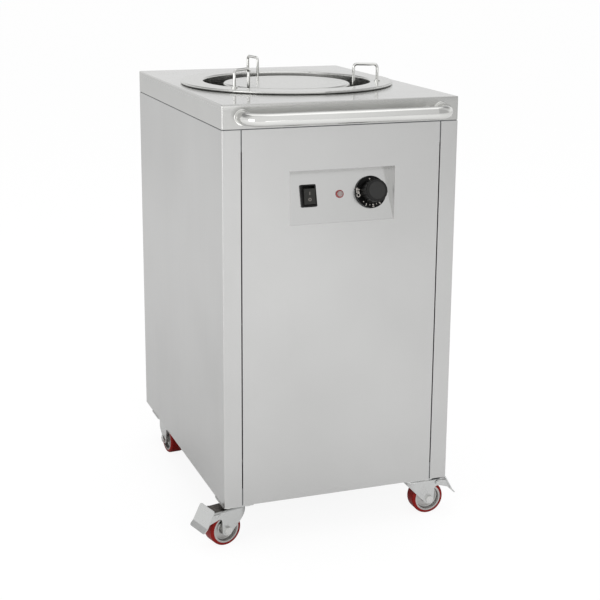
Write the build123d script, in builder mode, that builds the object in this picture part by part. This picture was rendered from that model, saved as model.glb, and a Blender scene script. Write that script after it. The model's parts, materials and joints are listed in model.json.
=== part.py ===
"""Heated plate dispenser: a sheet-metal cabinet on casters with a spring-lifted plate well.

Millimetres, +Z up. The origin is on the floor, on the vertical axis of the plate well.
The front with the controls and the push handle faces -Y.
"""

import os
from math import atan2, cos, degrees, hypot, radians, sin, sqrt

from build123d import *

os.makedirs("parts", exist_ok=True)

# Cabinet
cabinet_width = 400
cabinet_depth = 540
body_height = 622
cap_skirt = 38
sheet = 1.2
bend_radius = 2
shadow_gap = 1.6

# Folds of the wall panels
stile_width = 30
panel_gap = 2
return_depth = 14
rear_flange = 26
rear_lap = 20
rear_edge = 5

# Base pan and top frame
pan_sheet = 1.5
pan_flange = 30
frame_sheet = 1.5
frame_height = 72
frame_flange = 24
fold_clear = 2

# Top cap and push handle
cap_corner = 3
cap_edge = 2
handle_spacing = 336
handle_tube = 21
handle_wall = 1.5
handle_reach = 43
handle_drop = 1
handle_bend = 28
rosette_diameter = 26
rosette_thick = 2.5

# Control recess, centred on the front panel
console_width = 180
console_height = 87
console_below_cap = 70
console_recess = 25
console_flange = 10
control_spacing = 53.5

# Rocker switch
bezel_width = 26
bezel_height = 36
bezel_thick = 4
switch_body_width = 22.5
switch_body_height = 32.5
switch_body_depth = 30
rocker_width = 19
rocker_length = 26
rocker_rise = 8.5
rocker_dip = 1
rocker_root = 5
rocker_taper = 4
rocker_tilt = 10
rocker_gap = 0.5
rocker_edge = 0.8
pivot_depth = 1.5
pivot_diameter = 4
pivot_length = 1
pivot_fit = 0.05
bezel_corner = 2
bezel_edge = 0.8

# Indicator lamp
lamp_bezel = 13
lamp_bezel_thick = 2.5
lamp_body_diameter = 11.4
lamp_body_depth = 26
lamp_lens = 9.8
lamp_lens_rise = 2.4
lamp_lens_depth = 4
lamp_lens_edge = 1.8
lamp_edge = 0.8
lamp_fit = 0.05

# Thermostat and its knob
thermostat_width = 46
thermostat_height = 42
thermostat_depth = 30
spindle_diameter = 6
spindle_flat = 1.5
spindle_fit = 0.05
spindle_root = 11
knob_skirt = 52.5
knob_skirt_thick = 3
knob_base = 38.5
knob_top = 37
knob_height = 28
knob_edge = 1.5
knob_cap = 28
knob_cap_rise = 0.8
knob_cap_edge = 0.5
knob_flutes = 18
flute_diameter = 3
knob_gap = 1
knob_socket_depth = 14
bulb_diameter = 7
bulb_length = 90
bulb_height = 330
capillary_diameter = 2
capillary_bend = 8
capillary_out = 24
capillary_high = 64
capillary_low = 32
bulb_fit = 0.1

# Plate well
well_opening = 292
well_wall = 1
well_fit = 0.3
well_flange = 22
well_floor_height = 200
well_floor_width = 46
well_clear = 3.5
ring_width = 39.5
ring_rise = 5
ring_collar = 20
ring_bead = 4.4
ring_bend = 3
guide_wire = 5
guide_outset = 12
guide_inset = 29
guide_rise = 31
guide_bend = 6
guide_turn = 7.5
guide_foot = 11
guide_foot_thick = 2
guide_fit = 0.1
guide_below = 9
guide_count = 3
nut_width = 9
nut_thick = 4

# Platform and lift gear
platform_clear = 3.5
platform_sheet = 1.5
platform_rim = 12
platform_edge = 4
platform_below_ring = 4
arm_floor_gap = 31
column_height = 150
column_diameter = 40
column_wall = 2
column_flange = 120
column_flange_thick = 2.5
arm_width = 12
arm_thick = 8
arm_start = 26
arm_end = 7
arm_bolt = 6
arm_bolt_head = 10
arm_bolt_head_thick = 4
arm_bolt_radius = 42
slot_clear = 2
cross_bar_length = 46
cross_bar_width = 12
spring_spacing = 30
spring_outset = 16.5
spring_diameter = 12
spring_wire = 1.5
spring_loop = 10
spring_hole = 4
spring_hook = 5
spring_hook_bend = 1.5
hanger_drop = 26
hanger_sheet = 2
hanger_lip = 18
hanger_fit = 0.05

# Heater
reflector_width = 250
reflector_rise = 22
heater_tube = 8
heater_width = 196
heater_bend = 40
heater_end_bend = 12
heater_rise = 24
heater_ends = 28
heater_lead_out = 150
clip_width = 18
clip_sheet = 2
clip_foot = 14
heater_fit = 0.1

# Supply
gland_offset = 120
gland_height = 150
gland_bore = 10
gland_thread = 20
gland_hex = 26
gland_hex_thick = 5
gland_dome = 15
gland_taper = 12
gland_inside = 14
terminal_length = 60
terminal_width = 24
terminal_height = 28
terminal_ways = 5
terminal_gap = 3
terminal_inset = 30
loom_diameter = 8
loom_bend = 16
loom_side_gap = 15
lead_diameter = 3
lead_bend = 8

# Screws
screw_head = 8
screw_head_thick = 2.4
screw_shank = 4
screw_length = 8
screw_dome = 1.2
screw_slot = 1
screw_slot_length = 4.6
screw_slot_depth = 1.2
screw_fit = 0.1
rear_screw_shares = (0.04, 0.35, 0.65, 0.96)
panel_bolt = 5
panel_bolt_head = 8.5
panel_bolt_head_thick = 3
panel_bolt_inset = 8.4
panel_bolt_shares = (0.08, 0.5, 0.92)
handle_bolt = 8
handle_bolt_head = 13
handle_bolt_head_thick = 5
handle_bolt_grip = 10

# Casters
caster_inset_left = 26
caster_inset_right = 49
caster_inset_front = 29
caster_inset_rear = 76
wheel_diameter = 57
wheel_width = 27
tread_thick = 5
tread_shoulder = 4
core_web = 10
core_rim = 3
core_dish = 2.5
hub_diameter = 18
hub_width = 29
hub_gap = 0.5
axle_diameter = 8
axle_fit = 0.05
axle_head = 12
axle_head_thick = 4.5
caster_trail = 24
fork_sheet = 2.5
fork_boss = 19
fork_stem = 10
fork_behind_axle = 24
fork_front = 6
fork_lip = 13
fork_lip_bend = 6
fork_corner = 3
fork_edge = 4
crown_below_plate = 7
wheel_to_plate = 14
plate_width = 54
plate_thick = 2.5
plate_corner = 6
race_diameter = 36
race_neck = 30
race_gap = 0.4
pin_diameter = 10
pin_fit = 0.1
pin_head = 16
pin_head_thick = 2
bolt_spacing = 34
bolt_diameter = 6
bolt_head = 10
bolt_head_thick = 3
bolt_nut_thick = 5

# Brake pedal
pedal_sheet = 2
pedal_width = 46
pedal_cheeks = 40
pedal_hinge_behind_axle = 16
pedal_hinge_below_crown = 6.5
pedal_pin = 4
pedal_pin_fit = 0.05
pedal_rivet = 6
pedal_rivet_thick = 1
pedal_sleeve = 5
pedal_ear = 9
pedal_cheek_from = 0.25
pedal_cheek_to = 0.6
pedal_top_reach = 10
pedal_top_rise = 11.5
pedal_lip_reach = 24.5
pedal_lip_drop = 15.5
pedal_tip_reach = 31.5
pedal_tip_drop = 23.2
pedal_bend = 5
pedal_corner = 4
pedal_shoe_angle = 47
pedal_shoe = 8
pedal_shoe_width = 16
pedal_travel = 8
brake_gap = 0.3

# Levels and places that follow from the sizes
caster_height = wheel_diameter + wheel_to_plate
base_z = caster_height
cap_bottom = base_z + body_height
cap_top = cap_bottom + cap_skirt
wall_top = cap_bottom - shadow_gap
pan_top = base_z + pan_sheet
left_x = -cabinet_width / 2
right_x = cabinet_width / 2
front_y = -cabinet_depth / 2
rear_y = cabinet_depth / 2
inner_width = cabinet_width - 2 * sheet
inner_depth = cabinet_depth - 2 * sheet
frame_top = cap_top - sheet
frame_bottom = frame_top - frame_height
fold_low = base_z + pan_flange + fold_clear
fold_high = frame_bottom - fold_clear
panel_edge = cabinet_width / 2 - stile_width - panel_gap
handle_z = cap_bottom + cap_skirt / 2 - handle_drop
console_top = cap_bottom - console_below_cap
console_bottom = console_top - console_height
panel_back = front_y + sheet

ring_top = cap_top + ring_rise
tube_inner = well_opening / 2 + sheet + well_fit
tube_outer = tube_inner + well_wall
cap_hole = tube_outer + well_clear
flange_top = cap_top + well_wall
ring_outer = well_opening / 2 + ring_width
guide_angles = [90 + guide_turn + i * 360 / guide_count for i in range(guide_count)]
arm_angles = [angle + 180 / guide_count for angle in guide_angles]
guide_outer_radius = well_opening / 2 + guide_outset
guide_inner_radius = well_opening / 2 - guide_inset
platform_radius = guide_inner_radius - guide_wire / 2 - platform_clear
well_floor_opening = 2 * (well_opening / 2 - well_floor_width)
spring_radius_place = tube_outer + spring_outset
arm_reach = spring_radius_place + arm_end
platform_top = ring_top - platform_below_ring
arm_top = platform_top - column_height
arm_bottom = arm_top - arm_thick
arm_lowest = well_floor_height + arm_floor_gap
hanger_z = cap_top - sheet - hanger_drop
heater_z = pan_top + reflector_rise + heater_rise

crown_top = caster_height - crown_below_plate
crown_bottom = crown_top - fork_sheet
wheel_z = wheel_diameter / 2
fork_inside = hub_width / 2 + hub_gap
fork_outside = fork_inside + fork_sheet
bolt_corner = bolt_spacing / 2
hinge_z = crown_top - pedal_hinge_below_crown
hinge_x = caster_trail + pedal_hinge_behind_axle
fork_back = caster_trail + fork_behind_axle
fork_low = wheel_z - fork_boss / 2
stem_back = caster_trail + fork_stem
lip_low = crown_top - fork_lip

caster_spots = {
    "front_left": (left_x + caster_inset_left, front_y + caster_inset_front, 194),
    "front_right": (right_x - caster_inset_right, front_y + caster_inset_front, 0),
    "rear_left": (left_x + caster_inset_left, rear_y - caster_inset_rear, 275),
    "rear_right": (right_x - caster_inset_right, rear_y - caster_inset_rear, 300),
}
caster_places = {
    name: Location((x, y, 0), (0, 0, trail_angle))
    for name, (x, y, trail_angle) in caster_spots.items()
}
braked_casters = ("front_left", "front_right")
bolt_spots = [
    (x + dx * bolt_corner, y + dy * bolt_corner)
    for x, y, _ in caster_spots.values()
    for dx in (-1, 1)
    for dy in (-1, 1)
]

fascia_slope = degrees(atan2(console_recess, console_height))
fascia_face = Plane(
    origin=(0, panel_back + console_recess / 2, (console_bottom + console_top) / 2),
    x_dir=(1, 0, 0),
    z_dir=(0, -cos(radians(fascia_slope)), sin(radians(fascia_slope))),
)
switch_spot = (-control_spacing, 0)
knob_spot = (control_spacing, 0)
fascia_normal = Axis(fascia_face.origin, fascia_face.z_dir)


def bent_sheet(points, low, high):
    """A wall of bent sheet whose outer face runs through the points, seen from above."""
    with BuildPart() as wall:
        with BuildSketch(Plane.XY.offset(low)):
            with BuildLine():
                FilletPolyline(*points, radius=bend_radius)
                offset(amount=sheet, side=Side.LEFT)
            make_face()
        extrude(amount=high - low)
    return wall.part


def polar(radius, angle):
    """Plan position at a radius and an angle from the well's axis."""
    return (radius * cos(radians(angle)), radius * sin(radians(angle)))


def upright(angle):
    """Vertical plane through the well's axis, with local X outwards and local Y up."""
    out = (cos(radians(angle)), sin(radians(angle)), 0)
    side = (sin(radians(angle)), -cos(radians(angle)), 0)
    return Plane(origin=(0, 0, 0), x_dir=out, z_dir=side)


def round_bar(points, bends, diameter):
    """A round bar bent through the points."""
    with BuildPart() as bar:
        with BuildLine() as path:
            FilletPolyline(*points, radius=bends)
        with BuildSketch(path.line ^ 0):
            Circle(diameter / 2)
        sweep(path=path.line)
    return bar.part


def fork_form(half_width, top, edge):
    """Flat sides, a round front and a rounded top edge, with the swivel axis on the Z axis."""
    with BuildPart() as form:
        with BuildSketch(Plane.XY.offset(fork_low)):
            Circle(half_width)
            with Locations((fork_back / 2, 0)):
                Rectangle(fork_back, 2 * half_width)
        extrude(amount=top - fork_low)
        fillet(form.faces().sort_by(Axis.Z)[-1].edges().sort_by(Axis.X)[:-1], edge)
    return form.part


# Base pan: a folded tray that carries the walls, the heater and the casters
with BuildPart() as base_pan:
    with BuildSketch(Plane.XY.offset(base_z)):
        Rectangle(inner_width, inner_depth)
    extrude(amount=pan_flange)
    fillet(base_pan.edges().filter_by(Axis.Z), bend_radius)
    offset(amount=-pan_sheet, openings=base_pan.faces().sort_by(Axis.Z)[-1])
    with BuildSketch(Plane.XY.offset(base_z)):
        with Locations(*bolt_spots):
            Circle(bolt_diameter / 2 + screw_fit)
    extrude(amount=pan_sheet, mode=Mode.SUBTRACT)
base_pan.part.label = "base_pan"
export_step(base_pan.part, "parts/base_pan.step")

# Top frame: a folded rectangle inside the walls, with an inward flange that carries the cap
with BuildPart() as top_frame:
    with BuildSketch(Plane.XY.offset(frame_bottom)):
        RectangleRounded(inner_width, inner_depth, bend_radius)
        Rectangle(inner_width - 2 * frame_sheet, inner_depth - 2 * frame_sheet, mode=Mode.SUBTRACT)
    extrude(amount=frame_height)
    with BuildSketch(Plane.XY.offset(frame_top - frame_sheet)):
        RectangleRounded(inner_width, inner_depth, bend_radius)
        Rectangle(inner_width - 2 * frame_flange, inner_depth - 2 * frame_flange, mode=Mode.SUBTRACT)
    extrude(amount=frame_sheet)
    fillet(top_frame.faces().sort_by(Axis.Z)[-1].outer_wire().edges(), cap_edge)
    with BuildSketch(Plane.XZ.offset(inner_depth / 2)):
        with Locations((-handle_spacing / 2, handle_z), (handle_spacing / 2, handle_z)):
            Circle(handle_bolt / 2 + screw_fit)
    extrude(amount=-frame_sheet, mode=Mode.SUBTRACT)
top_frame.part.label = "top_frame"
export_step(top_frame.part, "parts/top_frame.step")

# Side panels: each wraps round the front as a stile with a return, and has a flange at the rear
stile_bolt_z = [fold_low + (fold_high - fold_low) * share for share in panel_bolt_shares]
stile_bolt_y = front_y + panel_bolt_inset
rear_screw_x = cabinet_width / 2 - rear_flange + rear_lap / 2
rear_screw_z = [fold_low + (fold_high - fold_low) * share for share in rear_screw_shares]
with BuildPart() as left_side_panel:
    add(
        bent_sheet(
            [
                (left_x + stile_width, front_y),
                (left_x, front_y),
                (left_x, rear_y),
                (left_x + rear_flange, rear_y),
            ][::-1],
            base_z,
            wall_top,
        )
    )
    add(
        bent_sheet(
            [
                (left_x + stile_width, front_y + return_depth),
                (left_x + stile_width, front_y),
                (left_x + stile_width / 2, front_y),
            ][::-1],
            fold_low,
            fold_high,
        )
    )
    with BuildSketch(Plane.YZ.offset(left_x + stile_width)):
        with Locations(*[(stile_bolt_y, z) for z in stile_bolt_z]):
            Circle(panel_bolt / 2 + screw_fit)
    extrude(amount=-2 * sheet, mode=Mode.SUBTRACT)
    with BuildSketch(Plane.XZ.offset(-rear_y)):
        with Locations(*[(-rear_screw_x, z) for z in rear_screw_z]):
            Circle(screw_shank / 2 + screw_fit)
    extrude(amount=2 * sheet, mode=Mode.SUBTRACT)
left_side_panel.part.label = "left_side_panel"
export_step(left_side_panel.part, "parts/left_side_panel.step")

with BuildPart() as right_side_panel:
    mirror(left_side_panel.part, about=Plane.YZ)
right_side_panel.part.label = "right_side_panel"
export_step(right_side_panel.part, "parts/right_side_panel.step")

# Front panel: fixed between the stiles, with folded edges and the cut-out for the controls
with BuildPart() as front_panel:
    with BuildSketch(Plane.XY.offset(base_z)):
        with Locations((0, front_y + sheet / 2)):
            Rectangle(2 * panel_edge, sheet)
    extrude(amount=wall_top - base_z)
    add(
        bent_sheet(
            [
                (-panel_edge, front_y + return_depth),
                (-panel_edge, front_y),
                (panel_edge, front_y),
                (panel_edge, front_y + return_depth),
            ],
            fold_low,
            fold_high,
        )
    )
    with BuildSketch(Plane.XZ.offset(-front_y)):
        with Locations((0, (console_bottom + console_top) / 2)):
            Rectangle(console_width, console_height)
    extrude(amount=-sheet, mode=Mode.SUBTRACT)
    with BuildSketch(Plane.YZ):
        with Locations(*[(stile_bolt_y, z) for z in stile_bolt_z]):
            Circle(panel_bolt / 2 + screw_fit)
    extrude(amount=cabinet_width / 2, both=True, mode=Mode.SUBTRACT)
front_panel.part.label = "front_panel"
export_step(front_panel.part, "parts/front_panel.step")

# Rear panel: a flat service cover screwed over the rear flanges, with the gland's hole
rear_width = cabinet_width - 2 * (rear_flange - rear_lap)
rear_low = base_z + rear_edge
rear_high = wall_top - rear_edge
rear_screw_spots = [(x, z) for x in (-rear_screw_x, rear_screw_x) for z in rear_screw_z]
with BuildPart() as rear_panel:
    with BuildSketch(Plane.XZ.offset(-rear_y)):
        with Locations((0, (rear_low + rear_high) / 2)):
            RectangleRounded(rear_width, rear_high - rear_low, cap_corner)
        with Locations(*rear_screw_spots):
            Circle(screw_shank / 2 + screw_fit, mode=Mode.SUBTRACT)
        with Locations((gland_offset, gland_height)):
            Circle(gland_thread / 2 + screw_fit, mode=Mode.SUBTRACT)
    extrude(amount=-sheet)
rear_panel.part.label = "rear_panel"
export_step(rear_panel.part, "parts/rear_panel.step")

# Top cap: a drawn tray turned over the frame, with the well's hole and the handle's bolt holes
guide_feet = [polar(guide_outer_radius, angle) for angle in guide_angles]
with BuildPart() as top_cap:
    with BuildSketch(Plane.XY.offset(cap_bottom)):
        RectangleRounded(cabinet_width, cabinet_depth, cap_corner)
    extrude(amount=cap_skirt)
    fillet(top_cap.faces().sort_by(Axis.Z)[-1].edges(), cap_edge)
    offset(amount=-sheet, openings=top_cap.faces().sort_by(Axis.Z)[0])
    with BuildSketch(Plane.XY.offset(cap_top)):
        Circle(cap_hole)
        with Locations(*guide_feet):
            Circle(guide_wire / 2 + screw_fit)
    extrude(amount=-cap_skirt, mode=Mode.SUBTRACT)
    with BuildSketch(Plane.XZ.offset(-front_y)):
        with Locations((-handle_spacing / 2, handle_z), (handle_spacing / 2, handle_z)):
            Circle(handle_bolt / 2 + screw_fit)
    extrude(amount=-2 * sheet, mode=Mode.SUBTRACT)
top_cap.part.label = "top_cap"
export_step(top_cap.part, "parts/top_cap.step")

# Push handle: one bent tube welded to two rosettes, which are bolted on from inside the skirt
handle_end = front_y - rosette_thick
handle_y = front_y - handle_reach
with BuildPart() as handle_bar:
    with BuildLine(Plane.XY.offset(handle_z)) as handle_path:
        FilletPolyline(
            (-handle_spacing / 2, handle_end),
            (-handle_spacing / 2, handle_y),
            (handle_spacing / 2, handle_y),
            (handle_spacing / 2, handle_end),
            radius=handle_bend,
        )
    with BuildSketch(handle_path.line ^ 0):
        Circle(handle_tube / 2)
        Circle(handle_tube / 2 - handle_wall, mode=Mode.SUBTRACT)
    sweep(path=handle_path.line)
handle_bar.part.label = "handle_bar"
export_step(handle_bar.part, "parts/handle_bar.step")

with BuildPart() as handle_rosettes:
    with BuildSketch(Plane.XZ.offset(-front_y)):
        with Locations((-handle_spacing / 2, handle_z), (handle_spacing / 2, handle_z)):
            Circle(rosette_diameter / 2)
            Circle(handle_bolt / 2 + screw_fit, mode=Mode.SUBTRACT)
    extrude(amount=rosette_thick)
    fillet(handle_rosettes.faces().sort_by(Axis.Y)[:2].edges().group_by(Edge.radius)[-1], cap_edge / 2)
handle_rosettes.part.label = "handle_rosettes"
export_step(handle_rosettes.part, "parts/handle_rosettes.step")

frame_inside_y = -inner_depth / 2 + frame_sheet
with BuildPart() as handle_bolts:
    with BuildSketch(Plane.XZ.offset(-frame_inside_y)):
        with Locations((-handle_spacing / 2, handle_z), (handle_spacing / 2, handle_z)):
            RegularPolygon(handle_bolt_head / 2, 6, major_radius=False)
    extrude(amount=-handle_bolt_head_thick)
    with BuildSketch(Plane.XZ.offset(-frame_inside_y)):
        with Locations((-handle_spacing / 2, handle_z), (handle_spacing / 2, handle_z)):
            Circle(handle_bolt / 2)
    extrude(amount=frame_inside_y - handle_end + handle_bolt_grip)
handle_bolts.part.label = "handle_bolts"
export_step(handle_bolts.part, "parts/handle_bolts.step")

# Control fascia: a sloping pocket folded from sheet, spot-welded behind the front panel's cut-out
with BuildPart() as control_fascia:
    with BuildSketch(Plane.YZ):
        with BuildLine():
            Polyline(
                (panel_back, console_bottom),
                (panel_back + console_recess, console_top),
                (panel_back, console_top),
                close=True,
            )
        make_face()
        offset(amount=sheet, kind=Kind.INTERSECTION)
    extrude(amount=console_width / 2 + sheet, both=True)
    with BuildSketch(Plane.XZ.offset(-panel_back)):
        with Locations((0, (console_bottom + console_top) / 2)):
            Rectangle(console_width + 2 * console_flange, console_height + 2 * console_flange)
    extrude(amount=-sheet)
    with BuildSketch(Plane.XZ.offset(-panel_back)):
        with Locations((0, (console_bottom + console_top) / 2)):
            Rectangle(2 * console_width, 2 * console_height)
    extrude(amount=console_recess, mode=Mode.SUBTRACT)
    with BuildSketch(Plane.YZ):
        with BuildLine():
            Polyline(
                (panel_back, console_bottom),
                (panel_back + console_recess, console_top),
                (panel_back, console_top),
                close=True,
            )
        make_face()
    extrude(amount=console_width / 2, both=True, mode=Mode.SUBTRACT)
    with BuildSketch(fascia_face):
        with Locations(switch_spot):
            Rectangle(switch_body_width + screw_fit, switch_body_height + screw_fit)
        Circle(lamp_body_diameter / 2 + screw_fit)
        with Locations(knob_spot):
            Circle(spindle_diameter / 2 + 2 * screw_fit)
    extrude(amount=-2 * sheet, mode=Mode.SUBTRACT)
control_fascia.part.label = "control_fascia"
export_step(control_fascia.part, "parts/control_fascia.step")

# Rocker switch: a bezel and body pressed through the fascia, with a pocket for the rocker
rocker_swing = (rocker_rise + pivot_depth) * sin(radians(rocker_tilt))
pocket_length = rocker_length + 2 * (rocker_swing + rocker_gap)
pocket_depth = rocker_root + rocker_length / 2 * sin(radians(rocker_tilt)) + rocker_gap
rocker_side = Plane(
    origin=fascia_face.from_local_coords((*switch_spot, -pivot_depth)),
    x_dir=fascia_face.y_dir,
    z_dir=fascia_face.x_dir,
)
with BuildPart(fascia_face) as switch_housing:
    with Locations((*switch_spot, bezel_thick / 2)):
        Box(bezel_width, bezel_height, bezel_thick)
    fillet(switch_housing.edges().filter_by(fascia_normal), bezel_corner)
    fillet(switch_housing.faces().sort_by(fascia_normal)[-1].edges(), bezel_edge)
    with Locations((*switch_spot, -switch_body_depth / 2)):
        Box(switch_body_width, switch_body_height, switch_body_depth)
    with Locations((*switch_spot, (bezel_thick - pocket_depth) / 2)):
        Box(
            rocker_width + 2 * rocker_gap,
            pocket_length,
            bezel_thick + pocket_depth,
            mode=Mode.SUBTRACT,
        )
    with BuildSketch(rocker_side):
        Circle(pivot_diameter / 2 + pivot_fit)
    extrude(amount=rocker_width / 2 + pivot_length + rocker_gap / 2, both=True, mode=Mode.SUBTRACT)
switch_housing.part.label = "switch_housing"
export_step(switch_housing.part, "parts/switch_housing.step")

# Rocker at rest in its off position, with the lower end pressed in
rocker_off = Plane(
    origin=rocker_side.origin,
    x_dir=rocker_side.x_dir.rotate(Axis.X, rocker_tilt),
    z_dir=rocker_side.z_dir,
)
with BuildPart() as switch_rocker:
    with BuildSketch(rocker_off):
        with BuildLine():
            Polyline(
                (-rocker_length / 2, rocker_rise + pivot_depth),
                (0, rocker_rise - rocker_dip + pivot_depth),
                (rocker_length / 2, rocker_rise + pivot_depth),
                (rocker_length / 2 - rocker_taper, pivot_depth - rocker_root),
                (rocker_taper - rocker_length / 2, pivot_depth - rocker_root),
                close=True,
            )
        make_face()
    extrude(amount=rocker_width / 2, both=True)
    fillet(switch_rocker.faces().sort_by(fascia_normal)[-2:].edges(), rocker_edge)
    with BuildSketch(rocker_off):
        Circle(pivot_diameter / 2)
    extrude(amount=rocker_width / 2 + pivot_length, both=True)
switch_rocker.part.label = "switch_rocker"
export_step(switch_rocker.part, "parts/switch_rocker.step")

# Indicator lamp: a bezel on a plain barrel, with the lens let into it
with BuildPart(fascia_face) as lamp_body:
    with Locations((0, 0, lamp_bezel_thick / 2)):
        Cylinder(lamp_bezel / 2, lamp_bezel_thick)
    fillet(lamp_body.faces().sort_by(fascia_normal)[-1].edges(), lamp_edge)
    with Locations((0, 0, -lamp_body_depth / 2)):
        Cylinder(lamp_body_diameter / 2, lamp_body_depth)
    with Locations((0, 0, lamp_bezel_thick - lamp_lens_depth / 2)):
        Cylinder(lamp_lens / 2, lamp_lens_depth, mode=Mode.SUBTRACT)
lamp_body.part.label = "lamp_body"
export_step(lamp_body.part, "parts/lamp_body.step")

with BuildPart(fascia_face) as lamp_lens_cap:
    with Locations((0, 0, lamp_bezel_thick + (lamp_lens_rise - lamp_lens_depth) / 2)):
        Cylinder(lamp_lens / 2 - lamp_fit, lamp_lens_depth + lamp_lens_rise)
    fillet(lamp_lens_cap.faces().sort_by(fascia_normal)[-1].edges(), lamp_lens_edge)
lamp_lens_cap.part.label = "lamp_lens"
export_step(lamp_lens_cap.part, "parts/lamp_lens.step")

# Thermostat: a body behind the fascia, with a spindle that the knob turns
with BuildPart(fascia_face) as thermostat_body:
    with Locations((*knob_spot, -sheet - thermostat_depth / 2)):
        Box(thermostat_width, thermostat_height, thermostat_depth)
    with Locations((*knob_spot, -sheet - spindle_root / 2)):
        Cylinder(spindle_diameter / 2 + spindle_fit, spindle_root + 2 * spindle_fit, mode=Mode.SUBTRACT)
thermostat_body.part.label = "thermostat_body"
export_step(thermostat_body.part, "parts/thermostat_body.step")

spindle_low = -sheet - spindle_root
spindle_high = knob_gap + knob_socket_depth - knob_edge
with BuildPart(fascia_face) as thermostat_spindle:
    with Locations((*knob_spot, (spindle_low + spindle_high) / 2)):
        Cylinder(spindle_diameter / 2, spindle_high - spindle_low)
    with Locations((control_spacing + spindle_diameter - spindle_flat, 0, (knob_gap + spindle_high) / 2)):
        Box(spindle_diameter, spindle_diameter, spindle_high - knob_gap, mode=Mode.SUBTRACT)
thermostat_spindle.part.label = "thermostat_spindle"
export_step(thermostat_spindle.part, "parts/thermostat_spindle.step")

# Knob: a flat skirt and a fluted grip with a raised cap, with a socket that fits the spindle's flat
knob_grip = knob_height - knob_skirt_thick
knob_taper = degrees(atan2((knob_base - knob_top) / 2, knob_grip))
with BuildPart(fascia_face) as control_knob:
    with Locations((*knob_spot, knob_gap + knob_skirt_thick + knob_grip / 2)):
        Cone(knob_base / 2, knob_top / 2, knob_grip)
    fillet(control_knob.faces().sort_by(fascia_normal)[-1].edges(), knob_edge)
    with Locations((*knob_spot, knob_gap + knob_skirt_thick + knob_grip / 2)):
        with PolarLocations((knob_base + knob_top) / 4 + flute_diameter / 4, knob_flutes):
            Cylinder(
                flute_diameter / 2,
                2 * knob_grip,
                rotation=(0, -knob_taper, 0),
                mode=Mode.SUBTRACT,
            )
    with Locations((*knob_spot, knob_gap + knob_height + knob_cap_rise / 2)):
        Cylinder(knob_cap / 2, knob_cap_rise)
    fillet(control_knob.faces().sort_by(fascia_normal)[-1].edges(), knob_cap_edge)
    with Locations((*knob_spot, knob_gap + knob_skirt_thick / 2)):
        Cylinder(knob_skirt / 2, knob_skirt_thick)
    with BuildSketch(fascia_face.offset(knob_gap)):
        with Locations(knob_spot):
            Circle(spindle_diameter / 2 + spindle_fit)
        with Locations((control_spacing + spindle_diameter - spindle_flat + spindle_fit, 0)):
            Rectangle(spindle_diameter, spindle_diameter + 2 * spindle_fit, mode=Mode.SUBTRACT)
    extrude(amount=knob_socket_depth, mode=Mode.SUBTRACT)
control_knob.part.label = "control_knob"
export_step(control_knob.part, "parts/control_knob.step")

# Thermostat bulb: clipped against the well tube, joined to the thermostat by a capillary
bulb_radius_place = tube_outer + bulb_fit + bulb_diameter / 2
bulb_y = -sqrt(bulb_radius_place**2 - control_spacing**2)
bulb_top = bulb_height + bulb_length
capillary_back = -sheet - thermostat_depth
capillary_start = fascia_face.from_local_coords((control_spacing, -thermostat_height / 4, capillary_back))
capillary_turn = fascia_face.from_local_coords(
    (control_spacing, -thermostat_height / 4, capillary_back - capillary_out)
)
with BuildPart() as thermostat_bulb:
    with BuildSketch(Plane.XY.offset(bulb_height)):
        with Locations((control_spacing, bulb_y)):
            Circle(bulb_diameter / 2)
    extrude(amount=bulb_length)
    add(
        round_bar(
            [
                capillary_start,
                capillary_turn,
                (control_spacing, capillary_turn.Y, bulb_top + capillary_high),
                (control_spacing, bulb_y, bulb_top + capillary_low),
                (control_spacing, bulb_y, bulb_top),
            ],
            capillary_bend,
            capillary_diameter,
        )
    )
thermostat_bulb.part.label = "thermostat_bulb"
export_step(thermostat_bulb.part, "parts/thermostat_bulb.step")

# Well tube: hangs in the cap by its flange, slotted for the lift arms, with a floor flange
slot_low = arm_lowest - slot_clear
slot_high = arm_top + slot_clear
guide_pegs = [polar(guide_inner_radius, angle) for angle in guide_angles]
with BuildPart() as well_tube:
    with BuildSketch(Plane.XY.offset(well_floor_height)):
        Circle(tube_outer)
        Circle(tube_inner, mode=Mode.SUBTRACT)
    extrude(amount=flange_top - well_floor_height)
    with BuildSketch(Plane.XY.offset(cap_top)):
        Circle(tube_inner + well_flange)
        Circle(tube_inner, mode=Mode.SUBTRACT)
        with Locations(*guide_feet):
            Circle(guide_wire / 2 + guide_fit, mode=Mode.SUBTRACT)
    extrude(amount=well_wall)
    with BuildSketch(Plane.XY.offset(well_floor_height)):
        Circle(tube_outer)
        Circle(well_floor_opening / 2, mode=Mode.SUBTRACT)
        with Locations(*guide_pegs):
            Circle(guide_wire / 2 + guide_fit, mode=Mode.SUBTRACT)
    extrude(amount=well_wall)
    for angle in arm_angles:
        with BuildSketch(upright(angle + 90)):
            with Locations((0, (slot_low + slot_high) / 2)):
                RectangleRounded(arm_width + 2 * slot_clear, slot_high - slot_low, slot_clear)
        extrude(amount=tube_outer + well_wall, mode=Mode.SUBTRACT)
well_tube.part.label = "well_tube"
export_step(well_tube.part, "parts/well_tube.step")

# Well ring: a collar that lines the tube, a flat top and a rolled outer rim
with BuildPart() as well_ring:
    with BuildSketch(Plane.XZ):
        with BuildLine():
            FilletPolyline(
                (well_opening / 2, ring_top - ring_collar),
                (well_opening / 2, ring_top),
                (ring_outer - ring_bead / 2, ring_top),
                radius=ring_bend,
            )
            offset(amount=sheet, side=Side.RIGHT)
        make_face()
        with Locations((ring_outer - ring_bead / 2, ring_top - ring_bead / 2)):
            Circle(ring_bead / 2)
    revolve(axis=Axis.Z)
    with BuildSketch(Plane.XY.offset(ring_top)):
        with Locations(*guide_feet):
            Circle(guide_wire / 2 + guide_fit)
    extrude(amount=-2 * sheet, mode=Mode.SUBTRACT)
well_ring.part.label = "well_ring"
export_step(well_ring.part, "parts/well_ring.step")

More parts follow.
